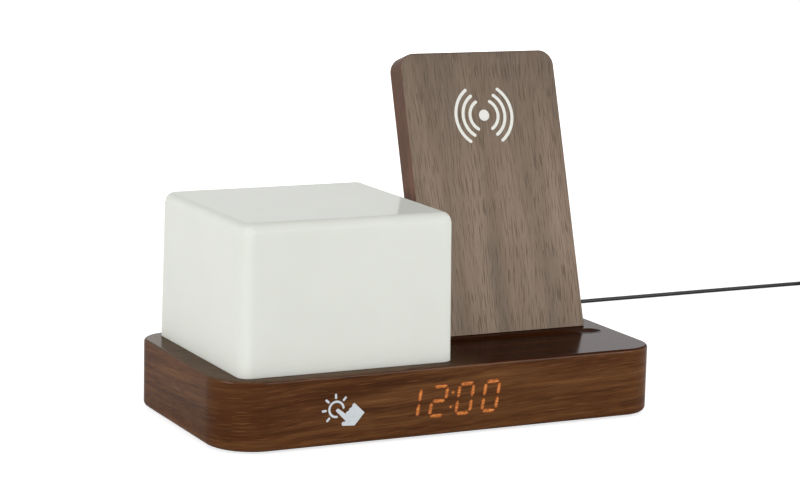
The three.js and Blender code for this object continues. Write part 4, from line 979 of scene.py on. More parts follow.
def lay_grain(target: Piece, chart_of: Callable[[Vector, Vector], Chart]) -> None:
    """Gives a mesh its coordinates along and across the grain, in metres.

    Args:
        target: The object.
        chart_of: Gives, for a face's middle and normal, what turns a corner into its coordinates.
    """
    mesh = bmesh.new()
    mesh.from_mesh(target.data)
    layer = mesh.loops.layers.uv.new(GRAIN)
    for face in mesh.faces:
        chart = chart_of(face.calc_center_median(), face.normal)
        for loop in face.loops:
            loop[layer].uv = chart(loop.vert.co)
    mesh.to_mesh(target.data)
    mesh.free()


@dataclass
class SubAssembly:
    """A group of pieces that are made and dressed together."""

    body: str = HOUSING
    made: list[str] = field(default_factory=list)

    def finish_piece(
        self,
        piece: Piece,
        finish: Finish | Recipe,
        stands_for: Sequence[str] = (),
        sharp_deg: float = 35.0,
        body: str | None = None,
    ) -> Piece:
        """Dresses a piece, shades it and lets it ride on its body.

        Args:
            piece: The piece, in place.
            finish: Its finish, which has a slot of its own where it is one of the Enum's.
            stands_for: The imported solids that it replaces.
            sharp_deg: The angle from which an edge shows as sharp.
            body: The body that it rides on, if not the sub-assembly's own.

        Returns:
            The piece.
        """
        recipe = RECIPES[finish] if isinstance(finish, Finish) else finish
        piece.data.materials.clear()
        piece.data.materials.append(WARDROBE.give(recipe))
        if piece.type == "MESH":
            smooth = [True] * len(piece.data.polygons)
            piece.data.polygons.foreach_set("use_smooth", smooth)
            piece.data.set_sharp_from_angle(angle=math.radians(sharp_deg))
            weighted = piece.modifiers.new("even_shading", "WEIGHTED_NORMAL")
            weighted.keep_sharp = True
        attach(piece, body or self.body)
        if stands_for:
            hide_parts(*stands_for)
        self.made.append(piece.name)
        return piece

    def build(self) -> None:
        """Makes every piece; each sub-assembly says how."""
        raise NotImplementedError

    def report(self) -> None:
        """Tells the log which pieces were made."""
        log.info("%s: %s", type(self).__name__, ", ".join(self.made) or "nothing")


@dataclass(frozen=True)
class Lamp:
    """A soft oblong lamp that points at the object."""

    name: str
    place: Place
    size: Point
    power: float

    def hang(self) -> None:
        """Hangs the lamp in its place and turns it to the object."""
        data = bpy.data.lights.new(self.name, "AREA")
        data.shape = "RECTANGLE"
        data.size, data.size_y = self.size
        data.energy = self.power
        lamp = bpy.data.objects.new(self.name, data)
        bpy.context.scene.collection.objects.link(lamp)
        turn = (-Vector(self.place)).to_track_quat("-Z", "Y").to_matrix().to_4x4()
        lamp.matrix_world = Matrix.Translation(self.place) @ turn


@dataclass
class Studio:
    """The camera, the floor and the light, none of which is part of the object."""

    camera_place: Place = (-0.470038, -0.937071, 0.261284)
    view_direction: Place = (0.44117906, 0.87899186, -0.18092636)
    view_right: Place = (0.89548133, -0.44442861, 0.02442141)
    lens: float = 113.469
    sensor: float = 36.0
    nearest: float = 0.01
    farthest: float = 50.0
    floor_size: float = 12.0
    floor_colour: Colour = (0.86, 0.86, 0.86)
    floor_lift: float = 0.7
    ambient: float = 0.448
    lamps: tuple[Lamp, ...] = (
        Lamp("lamp_left", place=(-1.7, -0.27, 0.42), size=(0.9, 0.8), power=13.5),
        Lamp("lamp_front", place=(0.68, -1.53, 0.42), size=(0.9, 0.8), power=12.5),
        Lamp("lamp_rear", place=(0.75, 1.5, 0.48), size=(1.2, 0.6), power=4.6),
    )

    def set_camera(self) -> None:
        """Puts the camera where the photograph was taken from."""
        data = bpy.data.cameras.new("camera")
        data.lens = self.lens
        data.sensor_width = self.sensor
        data.clip_start = self.nearest
        data.clip_end = self.farthest
        camera = bpy.data.objects.new("camera", data)
        bpy.context.scene.collection.objects.link(camera)
        ahead = Vector(self.view_direction).normalized()
        right = Vector(self.view_right).normalized()
        up = right.cross(ahead)
        turn = Matrix((right, up, -ahead)).transposed().to_4x4()
        camera.matrix_world = Matrix.Translation(self.camera_place) @ turn
        bpy.context.scene.camera = camera

    def lay_floor(self) -> None:
        """Lays a plain pale floor that shows as white where no shadow falls."""
        mesh = bmesh.new()
        bmesh.ops.create_grid(mesh, x_segments=1, y_segments=1, size=self.floor_size / 2)
        floor = as_object("floor", mesh)
        values = {
            "Base Color": (*self.floor_colour, 1.0),
            "Roughness": 0.9,
            "Specular IOR Level": 0.0,
            "Emission Color": WHITE,
        }
        shader = Shader("floor", values)
        seen = shader.add("ShaderNodeLightPath").outputs["Is Camera Ray"]
        lift = shader.add("ShaderNodeMath", {1: self.floor_lift}, operation="MULTIPLY")
        shader.join(seen, lift.inputs[0])
        shader.feed("Emission Strength", lift.outputs[0])
        floor.data.materials.append(shader.material)

    def light_world(self) -> None:
        """Sets a white backdrop and the plain light that comes from all round."""
        world = bpy.data.worlds.new("world")
        world.use_nodes = True
        bpy.context.scene.world = world
        nodes, links = world.node_tree.nodes, world.node_tree.links
        nodes.clear()
        path = nodes.new("ShaderNodeLightPath")
        seen = path.outputs["Is Camera Ray"]
        for ray in ("Is Glossy Ray", "Is Transmission Ray"):
            either = nodes.new("ShaderNodeMath")
            either.operation = "MAXIMUM"
            links.new(seen, either.inputs[0])
            links.new(path.outputs[ray], either.inputs[1])
            seen = either.outputs[0]
        strength = nodes.new("ShaderNodeMapRange")
        strength.inputs["To Min"].default_value = self.ambient
        strength.inputs["To Max"].default_value = 1.0
        links.new(seen, strength.inputs["Value"])
        background = nodes.new("ShaderNodeBackground")
        background.inputs["Color"].default_value = WHITE
        links.new(strength.outputs[0], background.inputs["Strength"])
        output = nodes.new("ShaderNodeOutputWorld")
        links.new(background.outputs[0], output.inputs["Surface"])

    def build(self) -> None:
        """Sets the camera, the floor and the light."""
        self.set_camera()
        self.lay_floor()
        self.light_world()
        for lamp in self.lamps:
            lamp.hang()
        bpy.context.scene.view_settings.view_transform = "Standard"


@dataclass
class PowerLead(SubAssembly):
    """The captive lead: its route over the table, its wound length, strain relief and plug."""

    diameter: float = 0.0021
    exit_x: float = 0.053
    exit_height: float = 0.009
    cord_round_steps: int = 4
    cord_bend_steps: int = 5
    rear_face: float = BASE_DEPTH / 2
    relief_length: float = 0.010
    relief_root: float = 0.005
    relief_tip: float = 0.0034
    relief_groove: float = 0.00045
    relief_grooves: int = 3
    # Shares of the way to the next groove and of the groove's depth.
    relief_groove_section: tuple[Point, ...] = (
        (0.0, 0.0), (0.06, 0.6), (0.125, 1.0), (0.375, 1.0), (0.44, 0.6), (0.5, 0.0)
    )
    relief_flange: float = 0.0085
    relief_flange_thickness: float = 0.0014
    coil_centre_x: float = 0.352
    coil_end_y: float = 0.1706
    coil_mean_diameter: float = 0.0248
    coil_turn_gap: float = 0.0005
    coil_layers: int = 4
    layer_turns: int = 3
    coil_steps: int = 24
    coil_last_turn: float = 0.25
    climb_turns: float = 0.5
    descent: float = 0.022
    plug_width: float = 0.0155
    plug_height: float = 0.008
    plug_length: float = 0.022
    plug_corner: float = 0.002
    plug_edge: float = 0.0014
    grips: int = 5
    grip_pitch: float = 0.0022
    grip_width: float = 0.0009
    grip_depth: float = 0.0004
    boot_length: float = 0.008
    boot_root: float = 0.0054
    boot_tip: float = 0.0034
    shell_width: float = 0.012
    shell_height: float = 0.0045
    shell_length: float = 0.016
    shell_wall: float = 0.0004
    shell_corner: float = 0.0005
    socket_depth: float = 0.003
    window: float = 0.0022
    window_spacing: float = 0.005
    window_from_mouth: float = 0.007
    tongue_chamfer: float = 0.00032
    contact_size: Place = (0.001, 0.0085, 0.0001)
    contact_places: tuple[float, ...] = (-0.0035, -0.001, 0.001, 0.0035)
    fall: tuple[Place, ...] = (
        (0.053, 0.066, 0.0089),
        (0.0533, 0.073, 0.0075),
        (0.054, 0.0805, 0.0049),
        (0.0553, 0.088, 0.0025),
        (0.0575, 0.096, 0.0012),
    )
    way_on_table: tuple[Point, ...] = (
        (0.061, 0.105),
        (0.0665, 0.115),
        (0.0745, 0.1255),
        (0.0855, 0.136),
        (0.0995, 0.1455),
        (0.116, 0.1535),
        (0.134, 0.1598),
        (0.153, 0.1643),
        (0.173, 0.167),
        (0.193, 0.1683),
        (0.219, 0.1689),
        (0.245, 0.1694),
        (0.271, 0.1699),
        (0.298, 0.1703),
        (0.324, 0.1706),
    )

    @property
    def relief_end(self) -> float:
        """Tells where along Y the strain relief ends."""
        return self.rear_face + self.relief_length

    @property
    def pitch(self) -> float:
        """Gives the distance between neighbouring turns."""
        return self.diameter + self.coil_turn_gap

    @property
    def outer_radius(self) -> float:
        """Gives the radius of the outermost turn."""
        return (self.coil_mean_diameter + self.pitch * self.layer_turns) / 2

    @property
    def coil_centre_y(self) -> float:
        """Gives the Y of the coil's middle."""
        return self.coil_end_y - self.outer_radius

    @property
    def plug_x(self) -> float:
        """Gives the X of the plug's middle."""
        return self.coil_centre_x + self.outer_radius + self.pitch / 4

    @property
    def boot_end(self) -> float:
        """Tells where along Y the lead enters the plug's boot."""
        return self.coil_centre_y - self.descent - self.diameter - FIT

    @property
    def plug_rear(self) -> float:
        """Gives the Y of the plug body's rear end."""
        return self.boot_end - self.boot_length

    @property
    def plug_face(self) -> float:
        """Gives the Y of the plug body's front end."""
        return self.plug_rear - self.plug_length

    def climbed(self, turns: float) -> float:
        """Tells how far the winding has climbed.

        Args:
            turns: How many turns have been wound.

        Returns:
            The height in layers.
        """
        layers = 0.0
        for layer in range(1, self.coil_layers):
            late = turns - layer * self.layer_turns + self.climb_turns / 2
            layers += eased(min(1.0, max(0.0, late / self.climb_turns)))
        return layers

    def free_points(self) -> list[Vector]:
        """Lists the points from the strain relief over the table to the coil.

        Returns:
            The points.
        """
        start = Vector((self.exit_x, self.relief_end + FIT, self.exit_height))
        straight = start + Vector((0.0, self.diameter, 0.0))
        falling = [Vector(place) for place in self.fall]
        lying = [Vector((*place, self.diameter / 2)) for place in self.way_on_table]
        return [start, straight, *falling, *lying]

    def wound_points(self) -> list[Vector]:
        """Lists the points of the coil and of the slope down to the plug.

        Returns:
            The points.
        """
        radius = self.diameter / 2
        points = [Vector((self.coil_centre_x - self.diameter, self.coil_end_y, radius))]
        inner_radius = self.outer_radius - self.pitch * self.layer_turns
        all_turns = self.coil_layers * self.layer_turns + self.coil_last_turn
        for number in range(round(all_turns * self.coil_steps) + 1):
            turns = number / self.coil_steps
            layer = min(int(turns // self.layer_turns), self.coil_layers - 1)
            along = (turns - layer * self.layer_turns) * self.pitch
            reach = self.outer_radius - along if layer % 2 == 0 else inner_radius + along
            angle = math.pi / 2 - turns * 2 * math.pi
            x = self.coil_centre_x + reach * math.cos(angle)
            y = self.coil_centre_y + reach * math.sin(angle)
            points.append(Vector((x, y, radius + self.pitch * self.climbed(turns))))
        top = points[-1]
        steps = round(self.descent / (2 * self.diameter))
        for number in range(1, steps + 1):
            share = number / steps
            height = top.z + (self.plug_height / 2 - top.z) * eased(share)
            points.append(Vector((top.x, top.y - share * self.descent, height)))
        points.append(Vector((top.x, top.y - self.descent - self.diameter, self.plug_height / 2)))
        return points

    def lay_cord(self, route: Sequence[Vector]) -> Piece:
        """Lays the lead as one curve.

        Args:
            route: The points that it runs through.

        Returns:
            The curve.
        """
        data = bpy.data.curves.new("power_cord", "CURVE")
        data.dimensions = "3D"
        data.bevel_depth = self.diameter / 2
        data.bevel_resolution = self.cord_round_steps
        data.resolution_u = self.cord_bend_steps
        data.use_fill_caps = True
        spline = data.splines.new("BEZIER")
        spline.bezier_points.add(len(route) - 1)
        for point, place in zip(spline.bezier_points, route):
            point.co = place
            point.handle_left_type = "AUTO"
            point.handle_right_type = "AUTO"
        cord = bpy.data.objects.new("power_cord", data)
        bpy.context.scene.collection.objects.link(cord)
        nodes = ("power_lead", "power_lead_coil")
        return self.finish_piece(cord, Finish.LEAD_JACKET, nodes)

    @staticmethod
    def rounded_tip(radius: float, end: float) -> list[Point]:
        """Lists the profile's points round the tip of a sleeve."""
        return [(radius, end - radius / 4), (radius - radius / 4, end), (0.0, end)]

    def make_relief(self) -> Piece:
        """Turns the ribbed strain relief with its flange inside the wall.

        Returns:
            The piece.
        """
        inside = self.rear_face - BASE_WALL - FIT
        root, tip = self.relief_root / 2, self.relief_tip / 2
        flange = self.relief_flange / 2
        flange_rear = inside - self.relief_flange_thickness
        profile = [(0.0, flange_rear), (flange, flange_rear), (flange, inside), (root, inside)]
        pitch = self.relief_length / (self.relief_grooves + 1)
        for number in range(self.relief_grooves):
            start = self.rear_face + pitch * (number + 0.5)
            radius = root + (tip - root) * (start - self.rear_face) / self.relief_length
            for along, sink in self.relief_groove_section:
                profile.append((radius - sink * self.relief_groove, start + along * pitch))
        profile += self.rounded_tip(tip, self.relief_end)
        place = at(self.exit_x, 0.0, self.exit_height) @ TO_REAR
        piece = as_object("lead_strain_relief", turned(profile, place))
        return self.finish_piece(piece, Finish.LEAD_JACKET, ("strain_relief",), sharp_deg=50.0)

    def make_plug(self) -> list[Piece]:
        """Makes the plug's body with its boot, its metal shell, its tongue and its contacts.

        Returns:
            The pieces.
        """
        mid = self.plug_height / 2
        half = self.plug_width / 2
        body = block((-half, self.plug_face, -mid), (half, self.plug_rear, mid))
        round_off(body, edges_where(body, standing(Y)), self.plug_corner)
        for end in (self.plug_face, self.plug_rear):
            round_off(body, edges_where(body, level(Y, end)), self.plug_edge)
        place = at(self.plug_x, 0.0, mid)
        bmesh.ops.transform(body, matrix=place, verts=body.verts)
        body_piece = as_object("plug_grip", body)
        floor = self.plug_face + self.socket_depth
        pocket = self.shell_block(self.plug_face - self.plug_edge, floor, -FIT)
        grooves = [self.grip_groove(side, number) for side in (-1, 1) for number in range(self.grips)]
        carve(body_piece, [pocket, *grooves])
        root, tip = self.boot_root / 2, self.boot_tip / 2
        low = self.plug_rear - self.plug_edge / 2
        boot = [(0.0, low), (root, low), (root, self.plug_rear + self.plug_edge / 2)]
        boot += self.rounded_tip(tip, self.boot_end)
        boot_piece = as_object("plug_boot", turned(boot, place @ TO_REAR))
        self.finish_piece(body_piece, Finish.LEAD_JACKET, ("plug_body",))
        self.finish_piece(boot_piece, Finish.LEAD_JACKET)
        return [body_piece, boot_piece, self.make_shell(), self.make_tongue(), self.make_contacts()]

    def grip_groove(self, side: int, number: int) -> Mesh:
        """Makes the cutter of one finger groove in the plug's body.

        Args:
            side: Its side, -1 on the left and 1 on the right.
            number: Its number from the front.

        Returns:
            The cutter.
        """
        y = (self.plug_face + self.plug_rear) / 2 + (number - (self.grips - 1) / 2) * self.grip_pitch
        middle = Vector((self.plug_x + side * self.plug_width / 2, y, self.plug_height / 2))
        half = Vector((self.grip_depth, self.grip_width / 2, self.plug_height / 2 - self.plug_corner))
        cutter = block(middle - half, middle + half)
        round_off(cutter, edges_where(cutter, standing(X)), self.grip_width / 3, segments=3)
        return cutter

    def shell_block(self, front: float, rear: float, inset: float) -> Mesh:
        """Makes a bar with the section of the plug's shell.

        Args:
            front: Its front end along Y.
            rear: Its rear end along Y.
            inset: How far its faces lie inside the shell's outside.

        Returns:
            The bar.
        """
        x, z = self.shell_width / 2 - inset, self.shell_height / 2 - inset
        mid = self.plug_height / 2
        bar = block((self.plug_x - x, front, mid - z), (self.plug_x + x, rear, mid + z))
        radius = max(self.shell_corner - inset, self.shell_wall / 2)
        round_off(bar, edges_where(bar, standing(Y)), radius, segments=4)
        return bar

    def make_shell(self) -> Piece:
        """Makes the plug's folded metal shell with its two pairs of windows.

        Returns:
            The piece.
        """
        rear = self.plug_face + self.socket_depth - FIT
        front = rear - self.shell_length
        piece = as_object("plug_metal_shell", self.shell_block(front, rear, 0.0))
        side = self.window / 2
        windows = []
        for place in (-self.window_spacing / 2, self.window_spacing / 2):
            x, y = self.plug_x + place, front + self.window_from_mouth
            windows.append(block((x - side, y - side, 0.0), (x + side, y + side, self.plug_height)))
        hollow = self.shell_block(front - self.shell_wall, rear + self.shell_wall, self.shell_wall)
        carve(piece, [hollow, *windows])
        return self.finish_piece(piece, Finish.PLUG_METAL, ("plug_shell",))

    def make_tongue(self) -> Piece:
        """Makes the plug's insulating tongue, chamfered at the mouth.

        Returns:
            The piece.
        """
        low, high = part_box("plug_tongue")
        tongue = block(low, high)
        round_off(tongue, edges_where(tongue, level(Y, low.y)), self.tongue_chamfer, segments=2)
        piece = as_object("plug_insulator", tongue)
        return self.finish_piece(piece, Finish.WHITE_PLASTIC, ("plug_tongue",))

    def make_contacts(self) -> Piece:
        """Makes the four contact strips on the tongue.

        Returns:
            The piece.
        """
        low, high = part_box("plug_tongue")
        width, length, thickness = self.contact_size
        mouth = low.y + 2 * self.shell_wall
        strips = bmesh.new()
        for place in self.contact_places:
            x = self.plug_x + place
            far = (x + width / 2, mouth + length, high.z + thickness)
            block((x - width / 2, mouth, high.z), far, strips)
        return self.finish_piece(as_object("plug_contacts", strips), Finish.COPPER)

    def build(self) -> None:
        route = [*self.free_points(), *self.wound_points()]
        cord = self.lay_cord(route)
        relief = self.make_relief()
        plug = self.make_plug()


@dataclass(frozen=True)
class Screw:
    """A pan-head screw with a cross recess, its head's top at the origin and its shank below."""

    head: ClassVar[float] = 0.005
    head_thickness: ClassVar[float] = 0.0012

    length: float
    diameter: float = 0.0024
    core_share: float = 0.8
    thread_pitch: float = 0.0009
    cross_width: float = 0.0008
    cross_length: float = 0.0028
    cross_depth: float = 0.00084
    # Shares of the head's radius and, below its top, of its thickness.
    dome: tuple[Point, ...] = ((1.0, 1.0), (1.0, 0.55), (0.93, 0.24), (0.72, 0.06), (0.4, 0.0))

    def make(self, name: str, place: Matrix) -> Piece:
        """Turns the screw, cuts its cross and puts it in place.

        Args:
            name: The piece's name.
            place: Where it goes.

        Returns:
            The piece.
        """
        head, shank, depth = self.head / 2, self.diameter / 2, self.head_thickness
        core = shank * self.core_share
        profile = [(0.0, -self.length), (core / 2, -self.length + core / 2)]
        height = -self.length + core
        while height + self.thread_pitch < -depth:
            profile += [(core, height), (shank, height + self.thread_pitch / 2)]
            height += self.thread_pitch
        profile.append((core, -depth))
        profile += [(head * out, -depth * down) for out, down in self.dome]
        profile.append((0.0, 0.0))
        piece = as_object(name, turned(profile, Matrix.Identity(4), segments=32))
        x, y = self.cross_length / 2, self.cross_width / 2
        arms = [block((-a, -b, -self.cross_depth), (a, b, depth)) for a, b in ((x, y), (y, x))]
        carve(piece, arms)
        piece.data.transform(place)
        return piece


@dataclass
class NightLamp(SubAssembly):
    """The opal shade over the lamp board."""

    top_edge: float = 0.0042
    corner: float = 0.005
    corner_steps: int = 12
    wall: float = 0.0022
    draft_deg: float = 0.8
    sunk: float = 0.00025

    def build(self) -> None:
        """Makes the shade: a drawn-in box with rounded edges and an even wall, open below."""
        low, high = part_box("lamp_shade")
        low.z -= self.sunk
        shade = block(low, high)
        drawn = (high.z - low.z) * math.tan(math.radians(self.draft_deg))
        size = high - low
        middle = (low + high) / 2
        share = (1 - 2 * drawn / size.x, 1 - 2 * drawn / size.y)
        about_middle = Matrix.Diagonal((*share, 1.0, 1.0)) @ Matrix.Translation(-middle)
        narrow = Matrix.Translation(middle) @ about_middle
        upper = [corner for corner in shade.verts if corner.co.z > middle.z]
        bmesh.ops.transform(shade, matrix=narrow, verts=upper)
        under = min(shade.faces, key=lambda face: face.calc_center_median().z)
        bmesh.ops.delete(shade, geom=[under], context="FACES_ONLY")
        weights = shade.edges.layers.float.new("bevel_weight_edge")
        for edge in shade.edges:
            a, b = edge.verts[0].co, edge.verts[1].co
            if level(Z, high.z)(a, b):
                edge[weights] = self.top_edge / self.corner
            elif not level(Z, low.z)(a, b):
                edge[weights] = 1.0
        piece = as_object("opal_shade", shade)
        rounding = piece.modifiers.new("rounded_edges", "BEVEL")
        rounding.limit_method = "WEIGHT"
        rounding.width = self.corner
        rounding.segments = self.corner_steps
        rounding.use_clamp_overlap = False
        wall = piece.modifiers.new("wall", "SOLIDIFY")
        wall.thickness = self.wall
        wall.offset = -1.0
        wall.use_even_offset = True
        keep_modified(piece)
        self.finish_piece(piece, Finish.OPAL, ("lamp_shade",), sharp_deg=40.0)


class Print:
    """Flat printed shapes in their own plane: X to the right, Y up, the surface at Z = 0."""

    film: ClassVar[float] = 0.00004
    sunk: ClassVar[float] = 0.00001
    disc_steps: ClassVar[int] = 40
    arc_step: ClassVar[float] = 0.0005
    fewest_arc_steps: ClassVar[int] = 6
    arc_end_steps: ClassVar[int] = 10
    bar_end_steps: ClassVar[int] = 8
    outline_steps: ClassVar[int] = 5

    def __init__(self) -> None:
        """Starts with an empty sheet."""
        self.sheet = bmesh.new()

    def disc(self, centre: Point, radius: float, steps: int = disc_steps) -> None:
        """Prints a filled disc."""
        place = Matrix.Translation((*centre, 0.0))
        bmesh.ops.create_circle(self.sheet, cap_ends=True, segments=steps, radius=radius, matrix=place)

    def arc(self, radius: float, start: float, end: float, stroke: float) -> None:
        """Prints an arc with round ends about the middle of the sheet.

        Args:
            radius: The radius of its middle line.
            start: The angle at which it starts.
            end: The angle at which it ends.
            stroke: Its width.
        """
        out = Vector((math.cos(start), math.sin(start), 0.0))
        line = [self.sheet.verts.new(out * (radius + side * stroke / 2)) for side in (-1, 0, 1)]
        edges = [self.sheet.edges.new(pair) for pair in zip(line, line[1:])]
        steps = max(self.fewest_arc_steps, round((end - start) * radius / self.arc_step))
        swept = self.sweep([*line, *edges], Vector(), end - start, steps)
        self.sweep(self.half_edge(edges[1]), line[1].co, -math.pi, self.arc_end_steps)
        last = [item for item in swept if isinstance(item, Edge)]
        far = max(last, key=lambda edge: max(corner.co.length for corner in edge.verts))
        hub = min(far.verts, key=lambda corner: corner.co.length)
        self.sweep(self.half_edge(far), hub.co, math.pi, self.arc_end_steps)

    def bar(self, start: Point, end: Point, stroke: float) -> None:
        """Prints a straight bar with round ends.

        Args:
            start: The point at which its middle line starts.
            end: The point at which it ends.
            stroke: Its width.
        """
        a, b = Vector((*start, 0.0)), Vector((*end, 0.0))
        across = (b - a).normalized().cross(Vector((0.0, 0.0, 1.0))) * stroke / 2
        line = [self.sheet.verts.new(a + across * side) for side in (-1, 0, 1)]
        edges = [self.sheet.edges.new(pair) for pair in zip(line, line[1:])]
        drawn = bmesh.ops.extrude_edge_only(self.sheet, edges=edges)["geom"]
        ends = [item for item in drawn if isinstance(item, Corner)]
        bmesh.ops.translate(self.sheet, verts=ends, vec=b - a)
        far = [item for item in drawn if isinstance(item, Edge)]
        outer = max(far, key=lambda edge: sum((v.co - b).dot(across) for v in edge.verts))
        self.sweep(self.half_edge(edges[1]), a, -math.pi, self.bar_end_steps)
        self.sweep(self.half_edge(outer), b, math.pi, self.bar_end_steps)

    @staticmethod
    def half_edge(edge: Edge) -> list[Corner | Edge]:
        """Gives an edge and its ends as geometry to sweep."""
        return [*edge.verts, edge]

    def sweep(self, geometry: list, centre: Vector, angle: float, steps: int) -> list:
        """Sweeps geometry about a point in the plane.

        Args:
            geometry: What is swept.
            centre: The point.
            angle: How far it turns.
            steps: In how many steps.

        Returns:
            The geometry at the end of the sweep.
        """
        swept = bmesh.ops.spin(
            self.sheet,
            geom=geometry,
            cent=Vector(centre),
            axis=(0.0, 0.0, 1.0),
            angle=angle,
            steps=steps,
            use_merge=False,
        )
        return swept["geom_last"]

    def outline(self, corners: Sequence[Point], rounding: float) -> None:
        """Prints a filled outline with rounded corners.

        Args:
            corners: The outline's corners.
            rounding: How far from each corner its round starts.
        """
        face = self.sheet.faces.new([self.sheet.verts.new((*corner, 0.0)) for corner in corners])
        round_off(self.sheet, face.verts, rounding, self.outline_steps, "VERTICES")

    def press(self, name: str, place: Matrix) -> Piece:
        """Gives the printed shapes the thickness of ink and puts them in place.

        Args:
            name: The piece's name.
            place: Where the sheet lies; its Z points out of the surface.

        Returns:
            The piece.
        """
        sheet = self.sheet
        bmesh.ops.remove_doubles(sheet, verts=sheet.verts, dist=SAME)
        for face in sheet.faces:
            if face.normal.z < 0:
                face.normal_flip()
        below = bmesh.ops.extrude_face_region(sheet, geom=list(sheet.faces))
        corners = [item for item in below["geom"] if isinstance(item, Corner)]
        bmesh.ops.translate(sheet, verts=corners, vec=(0.0, 0.0, self.film + self.sunk))
        bmesh.ops.translate(sheet, verts=sheet.verts, vec=(0.0, 0.0, -self.sunk))
        bmesh.ops.recalc_face_normals(sheet, faces=sheet.faces)
        bmesh.ops.transform(sheet, matrix=place, verts=sheet.verts)
        return as_object(name, sheet)


@dataclass
class ChargingStand(SubAssembly):
    """The leaning stand: its veneered panel, rear cover, screws and printed symbol."""

    foot_line: Place = (0.0532, -0.002, 0.030)
    tilt_deg: float = 17.5
    width: float = 0.076
    length: float = 0.124
    thickness: float = 0.0113
    corner: float = 0.007
    corner_steps: int = 12
    edge: float = 0.0008
    edge_steps: int = 5
    wall: float = 0.0025
    foot: float = 0.006
    shoulder: float = 0.0015
    shoulder_gap: float = 0.0002
    floor: float = 0.0021
    skin: float = 0.0018
    cover_thickness: float = 0.002
    cover_corner_steps: int = 10
    cover_screw_length: float = 0.005
    post_inset: float = 0.008
    right_edge_leaf: float = 0.5
    left_edge_leaf: float = 0.7
    symbol_height: float = 0.0956
    dot_radius: float = 0.0025
    arc_radii: tuple[float, ...] = (0.0069, 0.0103, 0.0138)
    arc_half_deg: tuple[float, ...] = (60.0, 57.0, 55.0)
    arc_stroke: float = 0.00145

    @property
    def place(self) -> Matrix:
        """Gives the stand's own frame: X along its width, Y through it, Z up its slope."""
        return Matrix.Translation(self.foot_line) @ Matrix.Rotation(-math.radians(self.tilt_deg), 4, "X")

    def shoulder_height(self, through: float) -> float:
        """Gives how far up the slope the level shoulder lies at a depth through the panel."""
        tilt = math.radians(self.tilt_deg)
        return (FIT + through * math.sin(tilt)) / math.cos(tilt)

    def panel_form(self) -> Mesh:
        """Makes the panel in its own frame, with its shoulder, its foot and its hollow at the rear.

        Returns:
            The form.
        """
        x = self.width / 2
        form = block((-x, 0.0, -self.foot), (x, self.thickness, self.length))
        tops = edges_where(form, lambda a, b: level(Z, self.length)(a, b) and standing(Y)(a, b))
        round_off(form, tops, self.corner, self.corner_steps)
        at_foot = level(Z, -self.foot)
        for face in (0.0, self.thickness):
            kept_sharp = edges_where(form, at_foot)
            around = [edge for edge in edges_where(form, level(Y, face)) if edge not in kept_sharp]
            round_off(form, around, self.edge, self.edge_steps)
        tilt = math.radians(self.tilt_deg)
        level_normal = Vector((0.0, -math.sin(tilt), math.cos(tilt)))
        start = Vector((0.0, 0.0, self.shoulder_gap / math.cos(tilt)))
        everything = [*form.verts, *form.edges, *form.faces]
        cut = bmesh.ops.bisect_plane(
            form, geom=everything, plane_co=start, plane_no=level_normal, clear_inner=True
        )
        rim = [item for item in cut["geom_cut"] if isinstance(item, Edge)]
        shoulder = bmesh.ops.contextual_create(form, geom=rim)["faces"][0]
        bmesh.ops.inset_region(form, faces=[shoulder], thickness=self.shoulder, use_even_offset=True)
        self.draw(form, shoulder, lambda place: Vector((place.x, place.y, -self.foot)))
        rear = max(form.faces, key=lambda face: face.calc_center_median().y)
        bmesh.ops.inset_region(form, faces=[rear], thickness=self.wall - self.edge, use_even_offset=True)
        hollow_foot = self.shoulder_height(self.thickness) + self.floor
        for corner in rear.verts:
            if corner.co.z < hollow_foot:
                corner.co.z = hollow_foot
        self.draw(form, rear, lambda place: Vector((place.x, self.skin, place.z)))
        bmesh.ops.recalc_face_normals(form, faces=form.faces)
        return form

    @staticmethod
    def draw(form: Mesh, face: bmesh.types.BMFace, move: Callable[[Vector], Vector]) -> None:
        """Draws a face out or in to where its corners are moved.

        Args:
            form: The form.
            face: The face.
            move: Gives the new place of a corner.
        """
        drawn = bmesh.ops.extrude_face_region(form, geom=[face])
        for item in drawn["geom"]:
            if isinstance(item, Corner):
                item.co = move(item.co)
        bmesh.ops.delete(form, geom=[face], context="FACES_ONLY")

    @staticmethod
    def on_edge(middle: Vector, normal: Vector) -> bool:
        """Tells whether a face belongs to the panel's sides or top."""
        return abs(normal.x) > FACING or normal.z > FACING

    def panel_chart(self, middle: Vector, normal: Vector) -> Chart:
        """Chooses how a face of the panel takes the grain, which runs up the slope.

        Args:
            middle: The face's middle; not used.
            normal: The face's normal.

        Returns:
            What turns a corner into its coordinates.
        """
        if abs(normal.x) > FACING:
            leaf = self.right_edge_leaf if normal.x > 0 else self.left_edge_leaf
            return lambda place: (place.z, place.y + leaf)
        if normal.z > FACING:
            return lambda place: (place.y + self.length, place.x)
        return lambda place: (place.z, place.x)

    def make_panel(self) -> None:
        """Makes the veneered panel and leans it back."""
        piece = as_object("stand_body", self.panel_form())
        lay_grain(piece, self.panel_chart)
        piece.data.transform(self.place)
        self.finish_piece(piece, Finish.GREY_WALNUT, ("stand_panel",), sharp_deg=40.0)
        veneer_over(piece, EDGE_WALNUT, self.on_edge)

    def post_places(self) -> dict[str, Point]:
        """Gives the places of the four rear screws across the panel and up its slope.

        Returns:
            The places by their names.
        """
        x = self.width / 2 - self.post_inset
        low = self.shoulder_height(self.thickness) + self.floor + self.post_inset - self.wall
        high = self.length - self.post_inset
        heights = {"low": low, "top": high}
        sides = {"left": -x, "right": x}
        return {f"{row}_{side}": (sides[side], heights[row]) for row in heights for side in sides}

